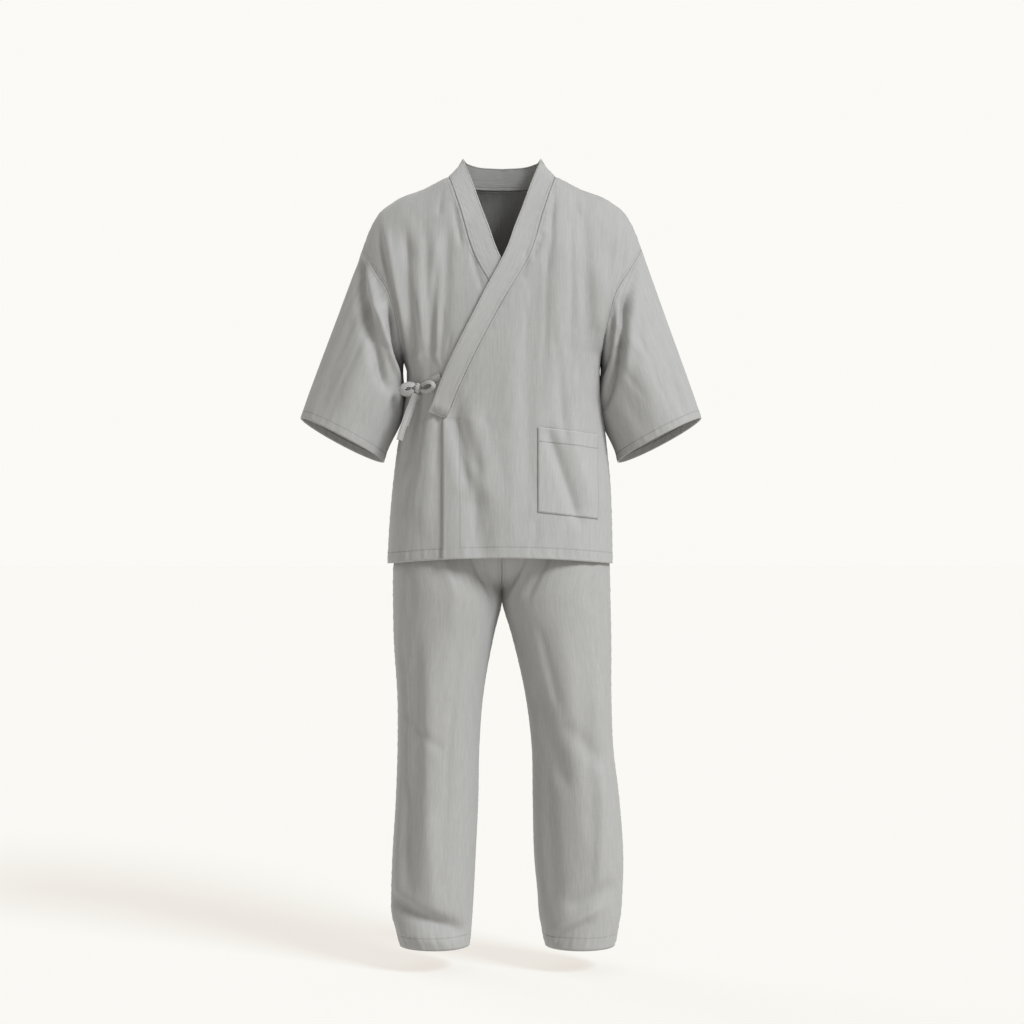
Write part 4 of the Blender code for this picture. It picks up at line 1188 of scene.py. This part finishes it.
for word, side, phase in (("left", 1, 1.3), ("right", -1, 3.7)):
    grid = grid_of(sleeve_rule(side), SLEEVE_ROWS, 2 * SLEEVE_HALF)
    sleeve = Sheet("sleeve_" + word, grid, -side)
    sleeve.gather("bottom", "start", 0.8 * HEM_PUCKER, 0.015, phase)
    sleeve.gather("top", "start", PUCKER, 0.016, phase + 1)
    seam = sleeve.nearest("start", "end", "top")
    sleeve.dress(sleeve.runs["bottom"], seam, sleeve_cotton, "top_cloth", "hung")
    sleeve.sew(SLEEVE_HEM, "bottom")

# %% [markdown]
# ## The collar band
#
# The band is a doubled strip that is sewn along both fronts and round the back of the neck. It lies
# flat on the fronts and stands up behind the neck, and it ends in a slanted tip above the bow. Its
# rows are taken from the front's own levels, so that the band and the neck seam keep together.

# %% Band tables
BAND_END_SLOPE = -0.43
BAND_END_LONG = 0.03
BAND_STEP = 0.004
BAND_TURN_START = 0.64
BAND_TURN_LONG = 0.16
BAND_LEAST_DROP = 0.02
BAND_COLUMNS = 16
BAND_EDGE_STAND = 0.0034

BAND_WIDTH = table(
    "drop width",
    (0.000, 0.0430),
    (0.150, 0.0430),
    (0.260, 0.0370),
    (0.400, 0.0335),
    (0.4566, 0.0295),
)

# The free edge round the neck, by station: 0 is the band's lower end, 1 the shoulder, 1.5 mid back.
BAND_NECK = table(
    "station out front drop",
    (0.70, 0.0180, 0.1010, 0.1180),
    (0.80, 0.0360, 0.0830, 0.0700),
    (0.90, 0.0540, 0.0520, 0.0170),
    (1.00, 0.0714, -0.0020, -0.0320),
    (1.15, 0.0660, -0.0380, -0.0330),
    (1.30, 0.0440, -0.0560, -0.0290),
    (1.50, 0.0000, -0.0620, -0.0270),
)


# %% Band shape
def band_turn(station):
    """0 where the band lies on a front, 1 where it stands round the neck."""
    return ease((station - BAND_TURN_START) / BAND_TURN_LONG)


def band_point(station, share, over):
    """A point of the half band. Station is 0 at its lower end, share is 0 at the seam."""
    side = 1 if over else -1
    seam_drop = BAND_END_DROP * (1 - np.clip(station, 0, 1))
    seam_out = look(NECK_SEAM, "out", seam_drop)
    above, below = (look(NECK_SEAM, "out", seam_drop + step) for step in (-BAND_STEP, BAND_STEP))
    slope = (below - above) / (2 * BAND_STEP)
    slope = np.where(seam_drop > BAND_END_DROP - BAND_END_LONG, BAND_END_SLOPE, slope)
    wide = look(BAND_WIDTH, "width", seam_drop) * share + BAND_GAP
    length = np.sqrt(1 + slope**2)
    flat_drop = np.maximum(seam_drop + wide * slope / length, BAND_LEAST_DROP)
    flat = front_point(side * (seam_out - wide / length), flat_drop, over)

    around = np.clip((station - 1) / 0.5, 0, 1)
    back_x = NECK_X * np.cos(around * np.pi / 2)
    nape = body_point(back_neck_level(back_x), side * back_x, back=True)
    fore = front_point(side * seam_out, np.maximum(seam_drop, 0.0), over)
    seam = np.where((station > 1)[:, None], nape, fore)
    out, front, drop = (look(BAND_NECK, name, station) for name in ("out", "front", "drop"))
    up = np.stack([side * out, -front, -drop], axis=-1) - seam
    tall = np.linalg.norm(up, axis=1)[:, None]
    stand = seam + up * (BAND_STAND / tall + (1 - BAND_STAND / tall) * share[:, None])
    return flat + (stand - flat) * band_turn(station)[:, None]


# One half's stations, at the rows of the front that the band is sewn to and round the back.
over_levels = front_levels(1, FRONT_ROWS)
start = row_start(over_levels, 1)
drop = drop_at(over_levels, start, side_of(start))
on_front = 1 - drop[drop < BAND_END_DROP + 1e-4][::-1] / BAND_END_DROP
on_back = 1 + 0.5 * np.arange(1, BACK_NECK_CELLS + 1) / BACK_NECK_CELLS
half = np.concatenate([np.clip(on_front, 0, 1), on_back])
whole = np.concatenate([half, half[::-1][1:]])
BAND_ROWS = len(whole) - 1


def band_rule(u, v):
    index = np.rint(v * BAND_ROWS).astype(int)
    over = (index < len(half))[:, None]
    return np.where(over, *(band_point(whole[index], u, part) for part in (True, False)))


band = Sheet("collar_band", grid_of(band_rule, BAND_ROWS, BAND_COLUMNS), -1, BAND_WALL)
band.gather("start", "top", 0.8 * PUCKER, 0.012, 0.4)
band.gather("end", "top", 0.5 * PUCKER, 0.008, 2.4, free=True)
on_over = np.arange(BAND_ROWS + 1) < len(half)
free_edge = np.linspace(0, 1, BAND_COLUMNS + 1)[None, :] ** 2 * BAND_EDGE_STAND
band.relief += (on_over * (1 - band_turn(whole)))[:, None] * free_edge
hem = band.nearest("end", "top", "bottom")
band.dress(hem, band.runs["start"], band_cotton, "band_cloth", "folded")
for edge in ("end", "start", "top", "bottom"):
    band.sew(BAND_EDGE, edge)

# %% [markdown]
# ## The patch pocket
#
# The pocket is a plain square of cloth on the wearer's left, with a turned top hem. It lies on the
# over front, so its points are the front's own points moved out, and it follows every fold there.

# %% Pocket
POCKET_INNER_X = 0.0656
POCKET_OUTER_X = 0.1760
POCKET_TOP_DROP = 0.473
POCKET_HIGH = 0.155
POCKET_SLANT = 0.0125
POCKET_LIFT = 0.0020
POCKET_ROWS = 72
POCKET_COLUMNS = 52
POCKET_EDGE = 0.0020
POCKET_MOUTH_STAND = 0.0008
POCKET_MOUTH_SHARE = 0.3


def pocket_rule(u, v):
    x = POCKET_INNER_X + (POCKET_OUTER_X - POCKET_INNER_X) * u
    drop = POCKET_TOP_DROP + POCKET_SLANT * u + POCKET_HIGH * v
    mouth = POCKET_MOUTH_STAND * np.sin(np.pi * u) * (1 - ease(v / POCKET_MOUTH_SHARE))
    return front_point(x, drop, True, extra=POCKET_LIFT + mouth)


pocket = Sheet("pocket", grid_of(pocket_rule, POCKET_ROWS, POCKET_COLUMNS), -1)
sewn = pocket.nearest("start", "end", "bottom")
hem = np.minimum(pocket.runs["top"], sewn * POCKET_HEM / POCKET_EDGE)
pocket.gather("top", "start", 0.6 * PUCKER, 0.010, 0.9, free=True)
pocket.gather(sewn, pocket.runs["top"] + pocket.runs["start"], 0.7 * PUCKER, 0.008, 1.9)
pocket.relief = np.abs(pocket.relief)
on_cloth = ["cloth_top_front_over"]
pocket.dress(hem, pocket.nowhere(), pocket_cotton, "top_cloth", "laid", on_cloth)
pocket.sew(POCKET_HEM, "top")
for edge in ("start", "end", "bottom"):
    pocket.sew(POCKET_EDGE, edge)

# %% [markdown]
# ## The tie
#
# Two tapes of the same cloth close the top in a small bow: one comes from the band's tip and one
# from the side seam. Each visible stretch is its own strip along a path. A loop is an oval whose
# width leans towards the eye, so that its inside shows. The knot is a lump with the tape's wraps
# pressed into it.

# %% Tie sizes
TAPE_WIDTH = 0.0115
KNOT_X = -0.1544
KNOT_DROP = 0.400
KNOT_LIFT = 0.0098
KNOT_HALF = (0.0062, 0.0050, 0.0098)
LOOP_REACH = 0.0118
LOOP_RISE = 0.0083
LOOP_FORWARD = 0.0012
LOOP_DROOP = 0.0016
LOOPS = (("outer", -1, 0.46, math.radians(34)), ("inner", 1, 0.38, math.radians(56)))
SIDE_TAPE_ANGLES = (math.radians(86), math.radians(64))
SIDE_TAPE_DROP = 0.404
SIDE_TAPE_X = -0.17
SIDE_TAPE_LIFT = (0.0024, 0.0030)
TAPE_COLUMNS = 10
TAPE_ROWS = 64
TAPE_CROWN = 0.0004
TAPE_CROWN_SHARE = 0.4
TAPE_PUCKER = 0.0002
TAPE_PUCKER_REACH = 0.004

# The tapes' paths: x, how far they stand off the front, drop, and how far they lean from upright.
TAPE_FRONT = table(
    "x lift drop lean",
    (-0.1125, 0.0030, 0.3785, 1.15),
    (-0.1220, 0.0030, 0.3830, 1.15),
    (-0.1320, 0.0034, 0.3880, 1.20),
    (-0.1400, 0.0034, 0.3930, 1.25),
    (-0.1476, 0.0034, 0.3970, 1.30),
)
TAIL_FRONT = table(
    "x lift drop lean",
    (-0.1580, 0.0105, 0.4100, 0.35),
    (-0.1640, 0.0110, 0.4250, 0.38),
    (-0.1710, 0.0100, 0.4420, 0.35),
    (-0.1780, 0.0085, 0.4620, 0.30),
    (-0.1840, 0.0075, 0.4800, 0.28),
    (-0.1880, 0.0070, 0.4960, 0.25),
)
TAIL_BEHIND = table(
    "x lift drop lean",
    (-0.1540, 0.0062, 0.4112, 0.30),
    (-0.1612, 0.0060, 0.4240, 0.32),
    (-0.1682, 0.0055, 0.4400, 0.30),
    (-0.1742, 0.0050, 0.4560, 0.26),
    (-0.1782, 0.0040, 0.4690, 0.24),
)


# %% Tape rules
def tie_depth(x, drop, lift):
    """How far forward a part of the bow sits: clear of the front under it, level past the knot."""
    beside = np.maximum(x, KNOT_X)
    return front_point(beside, np.full(np.shape(x), 1.0) * drop, False)[:, 1] - lift


def loop_path(way, tilt):
    """A loop's centre line and width: an oval from the knot and back. way is -1 out and 1 in."""

    def middle(t):
        far = 1 - np.cos(t)
        x = KNOT_X + way * (KNOT_HALF[0] + LOOP_REACH * far)
        z = -KNOT_DROP + way * LOOP_DROOP * far + LOOP_RISE * np.sin(t)
        y = tie_depth(x, KNOT_DROP, KNOT_LIFT + LOOP_FORWARD * (1 + way) * far)
        return np.stack([x, y, z], axis=-1)

    def across(t):
        out = np.stack([-way * np.cos(t) / LOOP_REACH, 0 * t, np.sin(t) / LOOP_RISE], axis=-1)
        out /= np.linalg.norm(out, axis=1)[:, None]
        return out * math.cos(tilt) + np.array([0, math.sin(tilt), 0])

    return middle, across


def tape_path(path):
    steps = np.linspace(0, 1, len(path["x"]))

    def middle(t):
        x, drop, lift = (curve(t, steps, path[name]) for name in ("x", "drop", "lift"))
        return np.stack([x, tie_depth(x, drop, lift), -drop], axis=-1)

    def across(t):
        lean = curve(t, steps, path["lean"])
        return np.stack([np.cos(lean), 0 * lean, -np.sin(lean)], axis=-1)

    return middle, across


def tape_rule(middle, across, start, end):
    def rule(u, v):
        t = start + (end - start) * v
        return middle(t) + across(t) * (u[:, None] - 0.5) * TAPE_WIDTH

    return rule


def side_tape_rule(u, v):
    """The tape from the side seam round to the back of the knot, lying on the under front."""
    first, last = SIDE_TAPE_ANGLES
    drop = SIDE_TAPE_DROP + (u - 0.5) * TAPE_WIDTH
    level = level_at(np.full(np.shape(drop), SIDE_TAPE_X), drop, -1)
    x = -half_width(level, -1) * from_angle(first + (last - first) * v)
    return body_point(level, x, lift=SIDE_TAPE_LIFT[0] + SIDE_TAPE_LIFT[1] * v**2)


# %% Tape strips
def dress_tape(word, rule, held, outward, rows=TAPE_ROWS):
    """A strip of tape: its middle stands up a little between its stitched edges."""
    tape = Sheet("tie_" + word, grid_of(rule, rows, TAPE_COLUMNS), outward, TAPE_WALL)
    sides = tape.nearest("start", "end")
    tape.relief += TAPE_CROWN * ease(sides / (TAPE_CROWN_SHARE * TAPE_WIDTH))
    tape.gather(sides, "top", TAPE_PUCKER, TAPE_PUCKER_REACH, len(tape.node), free=True)
    tape.dress(sides, tape.nowhere(), tie_cotton, "tie_cloth", held)
    for edge in ("start", "end"):
        tape.sew(TAPE_EDGE, edge)


for word, way, start, tilt in LOOPS:
    rule = tape_rule(*loop_path(way, tilt), start, 2 * math.pi - start)
    dress_tape("loop_" + word, rule, "folded", -way)
PATHS = (("tape_front", TAPE_FRONT), ("tail_front", TAIL_FRONT), ("tail_behind", TAIL_BEHIND))
for word, path in PATHS:
    dress_tape(word, tape_rule(*tape_path(path), 0.0, 1.0), "hung", -1)
dress_tape("tape_side", side_tape_rule, "laid", 1, rows=TAPE_ROWS // 2)

# %% Knot
KNOT_TURNS = ((0.42, 0.30), (-0.10, 0.26), (-0.55, 0.24))
KNOT_CREASE = 0.16
KNOT_CREASE_WIDE = 0.35
KNOT_SLANT = 0.45
KNOT_SEGMENTS = (56, 40)


def knot_mesh(name):
    """A rounded lump, pressed in where one wrap of the tape ends and the next begins."""
    build = bmesh.new()
    around, up = KNOT_SEGMENTS
    bmesh.ops.create_uvsphere(build, u_segments=around, v_segments=up, radius=1.0)
    centre = (KNOT_X, float(tie_depth(np.array([KNOT_X]), KNOT_DROP, KNOT_LIFT)[0]), -KNOT_DROP)
    for vertex in build.verts:
        high = vertex.co.z + KNOT_SLANT * vertex.co.x
        falls = ((high - at) / (KNOT_CREASE_WIDE * wide) for at, wide in KNOT_TURNS)
        size = 1 - KNOT_CREASE * sum(math.exp(-(fall**2)) for fall in falls)
        vertex.co = Vector(c + p * h * size for c, p, h in zip(centre, vertex.co, KNOT_HALF))
    mesh = bpy.data.meshes.new(name)
    layer = build.loops.layers.uv.new("cut")
    for face in build.faces:
        for loop in face.loops:
            offset = loop.vert.co - Vector(centre)
            loop[layer].uv = (math.atan2(offset.x, -offset.y) * KNOT_HALF[0], offset.z)
    build.to_mesh(mesh)
    build.free()
    for mark in ("hem", "seam"):
        slot = mesh.attributes.new(mark, "FLOAT", "POINT")
        slot.data.foreach_set("value", np.full(len(mesh.vertices), FAR))
    mesh.materials.append(tie_cotton)
    mesh.shade_smooth()
    return mesh


knot = place("cloth_tie_knot", knot_mesh("cloth_tie_knot"), "tie_cloth")
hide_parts("tie_knot")
print("knot faces:", len(knot.data.polygons))

# %% [markdown]
# ## The trousers
#
# Each leg is a front and a back panel, joined at the side and the inseam, and the pairs meet in the
# centre seam. Above the crotch a panel follows the hips' round, and below it a leg's oval. The
# knees bend the cloth into slanting folds, and it breaks softly above the hem.

# %% Trouser tables
WAIST_DROP = 0.455
WAISTBAND_HIGH = 0.040
CROTCH_START_DROP = 0.600
CROTCH_DROP = 0.792
LEG_HEM_DROP = 1.442
HIP_POWER = 0.87
LEG_POWER = 0.92
CROTCH_POWER = 3
CROTCH_TURN = 3
LEG_FOLD_EDGE = 0.06
LEG_FOLD_STRETCH = 4.0
LEG_UPPER_ROWS_SHARE = 0.36
LEG_ROWS = 210
LEG_COLUMNS = 60

HIPS = table(
    "drop half front back",
    (0.455, 0.150, 0.106, 0.102),
    (0.500, 0.156, 0.107, 0.106),
    (0.600, 0.180, 0.113, 0.117),
    (0.700, 0.197, 0.117, 0.124),
    (0.792, 0.205, 0.118, 0.124),
)
LEGS = table(
    "drop outer_right inner_right outer_left inner_left front back mid",
    (0.730, 0.2045, 0.0000, 0.2020, 0.0000, 0.1135, 0.120, 0.000),
    (0.792, 0.2040, 0.0000, 0.2030, 0.0000, 0.106, 0.113, 0.000),
    (0.855, 0.2030, 0.0150, 0.2045, 0.0180, 0.098, 0.105, 0.000),
    (0.985, 0.1955, 0.0376, 0.2050, 0.0470, 0.088, 0.094, 0.000),
    (1.066, 0.1955, 0.0432, 0.2080, 0.0564, 0.081, 0.085, 0.000),
    (1.169, 0.1990, 0.0455, 0.2200, 0.0585, 0.077, 0.081, 0.003),
    (1.285, 0.2060, 0.0510, 0.2275, 0.0620, 0.075, 0.079, 0.006),
    (1.345, 0.2078, 0.0540, 0.2258, 0.0677, 0.074, 0.078, 0.008),
    (1.385, 0.2070, 0.0565, 0.2230, 0.0705, 0.072, 0.076, 0.009),
    (1.412, 0.2000, 0.0585, 0.2180, 0.0755, 0.070, 0.073, 0.010),
    (1.442, 0.1920, 0.0620, 0.2120, 0.0820, 0.067, 0.070, 0.010),
)

# A leg's folds: side is 1 on the left, and round is 0 at the side seam and 1 at the inseam.
LEG_FOLDS = table(
    "side back round0 drop0 round1 drop1 half rise",
    (-1, 0, 0.22, 0.86, 0.26, 1.34, 0.060, -0.0060),
    (-1, 0, 0.42, 0.90, 0.45, 1.28, 0.070, 0.0045),
    (-1, 0, 0.12, 1.37, 0.62, 1.40, 0.070, -0.0060),
    (1, 0, 0.55, 1.02, 0.25, 1.10, 0.070, -0.0045),
    (1, 0, 0.50, 0.84, 0.46, 1.30, 0.070, 0.0045),
    (1, 0, 0.20, 1.32, 0.60, 1.36, 0.070, -0.0060),
    (-1, 1, 0.35, 0.90, 0.40, 1.30, 0.070, -0.0050),
    (-1, 1, 0.70, 1.06, 0.25, 1.10, 0.060, -0.0055),
    (1, 1, 0.40, 0.88, 0.36, 1.28, 0.070, -0.0050),
    (1, 1, 0.70, 1.08, 0.25, 1.05, 0.060, -0.0055),
    (-1, 1, 0.15, 1.36, 0.60, 1.39, 0.070, -0.0050),
    (1, 1, 0.15, 1.35, 0.60, 1.38, 0.070, -0.0050),
)
LEG_CREASES = table(
    "side back round0 drop0 round1 drop1 half rise",
    (-1, 0, 0.24, 0.84, 0.26, 1.24, 0.022, 0.0028),
    (-1, 0, 0.22, 1.12, 0.34, 1.35, 0.070, -0.0065),
    (-1, 0, 0.46, 1.18, 0.52, 1.36, 0.060, 0.0040),
    (-1, 0, 0.33, 0.86, 0.35, 1.20, 0.050, -0.0050),
    (-1, 0, 0.10, 1.350, 0.80, 1.408, 0.055, -0.0130),
    (-1, 0, 0.15, 1.412, 0.70, 1.432, 0.040, 0.0028),
    (-1, 0, 0.62, 0.86, 0.58, 1.20, 0.030, -0.0024),
    (-1, 0, 0.18, 1.00, 0.55, 1.07, 0.040, -0.0026),
    (-1, 0, 0.80, 0.66, 0.80, 0.80, 0.030, -0.0040),
    (-1, 0, 0.55, 0.66, 0.55, 0.84, 0.040, 0.0030),
    (-1, 0, 0.30, 0.66, 0.28, 0.82, 0.035, -0.0030),
    (1, 0, 0.80, 0.95, 0.58, 1.14, 0.075, -0.0065),
    (1, 0, 0.76, 1.04, 0.72, 1.36, 0.100, -0.0070),
    (1, 0, 0.27, 0.92, 0.36, 1.32, 0.080, 0.0080),
    (1, 0, 0.32, 1.12, 0.38, 1.31, 0.035, 0.0040),
    (1, 0, 0.74, 1.408, 0.35, 1.358, 0.032, 0.0050),
    (1, 0, 0.72, 1.422, 0.40, 1.385, 0.032, -0.0040),
    (1, 0, 0.64, 0.84, 0.60, 0.98, 0.030, -0.0026),
    (1, 0, 0.80, 0.66, 0.82, 0.82, 0.030, 0.0040),
    (1, 0, 0.66, 0.66, 0.68, 0.79, 0.035, -0.0042),
    (1, 0, 0.30, 0.66, 0.30, 0.80, 0.035, -0.0030),
    (-1, 1, 0.55, 0.82, 0.52, 1.15, 0.030, -0.0026),
    (-1, 1, 0.20, 1.02, 0.50, 1.12, 0.032, -0.0038),
    (-1, 1, 0.60, 1.16, 0.30, 1.20, 0.032, -0.0036),
    (-1, 1, 0.45, 1.25, 0.48, 1.42, 0.030, 0.0028),
    (-1, 1, 0.20, 1.33, 0.70, 1.38, 0.040, -0.0046),
    (1, 1, 0.55, 0.84, 0.56, 1.16, 0.030, -0.0026),
    (1, 1, 0.22, 1.06, 0.48, 1.14, 0.032, -0.0038),
    (1, 1, 0.62, 1.14, 0.32, 1.19, 0.032, -0.0036),
    (1, 1, 0.42, 1.24, 0.46, 1.42, 0.030, 0.0028),
    (1, 1, 0.65, 1.35, 0.25, 1.39, 0.040, -0.0046),
)


# %% Leg panels
upper_rows = round(LEG_ROWS * LEG_UPPER_ROWS_SHARE)
below_band = WAIST_DROP + WAISTBAND_HIGH
to_crotch = np.sin(np.linspace(0, np.pi / 2, upper_rows + 1))
leg_drops = np.concatenate(
    [
        below_band + (CROTCH_DROP - below_band) * to_crotch,
        np.linspace(CROTCH_DROP, LEG_HEM_DROP, LEG_ROWS - upper_rows + 1)[1:],
    ]
)


def mine_of(folds, side, back):
    """The rows of a leg's fold table that belong to one panel."""
    mine = (folds["side"] == side) & (folds["back"] == int(back))
    return {name: column[mine] for name, column in folds.items()}


def leg_point(side, back, around, drop):
    """A point of a leg panel: around runs from the side seam to the centre seam or inseam."""
    face = "back" if back else "front"
    name = "left" if side > 0 else "right"
    turn = around * np.pi / 2
    hip_x = look(HIPS, "half", drop) * np.cos(turn) ** HIP_POWER
    hip_y = look(HIPS, face, drop) * np.sin(turn) ** HIP_POWER
    outer, inner = (look(LEGS, edge + name, drop) for edge in ("outer_", "inner_"))
    leg_x = (outer + inner) / 2 + (outer - inner) / 2 * np.cos(np.pi * around)
    leg_y = look(LEGS, face, drop) * np.sin(np.pi * around) ** LEG_POWER
    t = np.clip((drop - CROTCH_START_DROP) / (CROTCH_DROP - CROTCH_START_DROP), 0, 1)
    mix = ease(t) + (ease(t**CROTCH_TURN) - ease(t)) * around**CROTCH_POWER
    mine = [mine_of(folds, side, back) for folds in (LEG_FOLDS, LEG_CREASES)]
    rise = fold_field(mine, around, drop, LEG_FOLD_STRETCH)
    rise = rise * ease(around / LEG_FOLD_EDGE) * ease((1 - around) / LEG_FOLD_EDGE)
    x = hip_x + (leg_x - hip_x) * mix + rise * np.cos(np.pi * around)
    y = hip_y + (leg_y - hip_y) * mix + rise * np.sin(np.pi * around)
    return np.stack([side * x, look(LEGS, "mid", drop) + (y if back else -y), -drop], axis=-1)


for word, side in (("left", 1), ("right", -1)):
    for part, back in (("front", False), ("back", True)):

        def leg_rule(u, v):
            return leg_point(side, back, u, leg_drops[np.rint(v * LEG_ROWS).astype(int)])

        phase = 1.1 * side + 2.3 * back
        grid = grid_of(leg_rule, LEG_ROWS, LEG_COLUMNS)
        leg = Sheet(f"trouser_{part}_{word}", grid, -side if back else side)
        leg.gather("bottom", "start", 1.1 * HEM_PUCKER, 0.026, phase)
        leg.gather("start", "top", PUCKER, 0.014, phase + 1)
        leg.gather("end", "top", PUCKER, 0.018, phase + 2)
        seam = leg.nearest("start", "end", "top")
        leg.dress(leg.runs["bottom"], seam, leg_cotton, "trouser_cloth", "hung")
        leg.sew(LEG_HEM, "bottom", garment="trousers")
        leg.sew(TOPSTITCH, "end", garment="trousers")

# %% [markdown]
# ## The waistband
#
# The waist is a casing with elastic in it, so its cloth is gathered in even upright ripples. It
# sits under the top, and is seen only from above or below.

# %% Waistband
WAISTBAND_COLUMNS = 480
WAISTBAND_ROWS = 10
GATHERS = 68
GATHER_DEEP = 0.0009
WAIST_ROUND = 0.13


def waistband_rule(u, v):
    angle = 2 * np.pi * u
    sine, cosine = np.sin(angle), np.cos(angle)
    drop = WAIST_DROP + WAISTBAND_HIGH * v
    depth = np.where(sine < 0, look(HIPS, "front", drop), look(HIPS, "back", drop))
    wave = 1 + GATHER_DEEP / WAIST_ROUND * np.sin(GATHERS * angle) * np.sin(np.pi * v) ** 0.5
    x = wave * look(HIPS, "half", drop) * np.sign(cosine) * np.abs(cosine) ** HIP_POWER
    y = wave * depth * np.sign(sine) * np.abs(sine) ** HIP_POWER
    return np.stack([x, y, -drop], axis=-1)


waistband = Sheet("waistband", grid_of(waistband_rule, WAISTBAND_ROWS, WAISTBAND_COLUMNS), 1)
seam = waistband.nearest("top", "bottom")
waistband.dress(waistband.nowhere(), seam, leg_cotton, "trouser_cloth", "gathered", ring=True)

# %% [markdown]
# ## Stitches
#
# The whole set is sewn with one grey thread. Every seam line was kept as a row of points while the
# panels were made. Geometry Nodes walk along those lines, put a stitch at each step and turn it to
# the line, which is how a row of stitches follows any curve. Modelling them one by one would take
# thousands of copies, and a painted line would stay flat where the light grazes the cloth.

# %% Stitch tree
STITCH = {"Pitch": 0.0034, "Length": 0.0024, "Thickness": 0.00042}
STITCH_SIZES = {2: 0.88, 3: 1.08, "Seed": 7}
THREAD_GREY = 0.31
THREAD_TONES = (0.9, 1.15)
THREAD_BLUE_LESS = 0.02
THREAD_LUMPS = 140
THREAD_FINISH = {"Roughness": 0.6, "Specular IOR Level": 0.35}

stitch_inputs = (
    ("Lines", "NodeSocketGeometry", None),
    *((label, number, value) for label, value in STITCH.items()),
    ("Thread", "NodeSocketMaterial", None),
)
outputs = (("Stitches", "NodeSocketGeometry"),)
rows_tree, given, result = new_group("Stitch rows", stitch_inputs, outputs, "GeometryNodeTree")


def step(kind, inputs=None, **settings):
    """One step of the tree: its first output."""
    return add_node(rows_tree, kind, inputs, **settings).outputs[0]


ask = given.outputs
runs = step("GeometryNodeMeshToCurve", {"Mesh": ask["Lines"]})
places = {"Curve": runs, "Length": ask["Pitch"]}
steps = step("GeometryNodeResampleCurve", places, mode="LENGTH")
tangent = step("GeometryNodeInputTangent")
turn = step("FunctionNodeAlignRotationToVector", {"Vector": tangent}, axis="Z")
bead = step("GeometryNodeMeshIcoSphere", {"Radius": 0.5, "Subdivisions": 1})
box = {"X": ask["Thickness"], "Y": ask["Thickness"], "Z": ask["Length"]}
size = step("ShaderNodeCombineXYZ", box)
uneven = add_node(rows_tree, "FunctionNodeRandomValue", STITCH_SIZES).outputs[1]
beads = {"Points": steps, "Instance": bead, "Rotation": turn, "Scale": size}
rows = step("GeometryNodeInstanceOnPoints", beads)
sized = step("GeometryNodeScaleInstances", {"Instances": rows, "Scale": uneven})
real = step("GeometryNodeRealizeInstances", {"Geometry": sized})
sewn = step("GeometryNodeSetMaterial", {"Geometry": real, "Material": ask["Thread"]})
feed(rows_tree, sewn, result.inputs["Stitches"])
print("stitch tree with", len(rows_tree.nodes), "nodes")

# %% Thread
thread, tree, finish = new_material("thread")
spot = add_node(tree, "ShaderNodeTexCoord").outputs["Object"]
noise = add_node(tree, "ShaderNodeTexNoise", {"Scale": THREAD_LUMPS, "Vector": spot})
dark, pale = (
    (THREAD_GREY * tone, THREAD_GREY * tone, THREAD_GREY * (tone - THREAD_BLUE_LESS), 1)
    for tone in THREAD_TONES
)
finish({"Base Color": blend(tree, noise.outputs["Fac"], dark, pale), **THREAD_FINISH})

# %% Sew the rows
sockets = {
    item.name: item.identifier
    for item in rows_tree.interface.items_tree
    if item.in_out == "INPUT"
}
for garment, lines in SEWN_LINES.items():
    first = np.cumsum([0] + [len(line) for line in lines])
    edges = [(i, i + 1) for a, b in zip(first[:-1], first[1:]) for i in range(a, b - 1)]
    line_mesh = bpy.data.meshes.new("lines")
    line_mesh.from_pydata(np.concatenate(lines).tolist(), edges, [])
    line_piece = bpy.data.objects.new("lines", line_mesh)
    scene.collection.objects.link(line_piece)
    walk = line_piece.modifiers.new("Rows", "NODES")
    walk.node_group = rows_tree
    for label, value in {**STITCH, "Thread": thread}.items():
        walk[sockets[label]] = value
    ready = line_piece.evaluated_get(bpy.context.evaluated_depsgraph_get())
    mesh = bpy.data.meshes.new_from_object(ready)
    mesh.name = "stitches_" + garment
    bpy.data.objects.remove(line_piece)
    place(mesh.name, mesh, "top_cloth" if garment == "top" else "trouser_cloth")
    print(garment, "stitch triangles:", len(mesh.polygons))
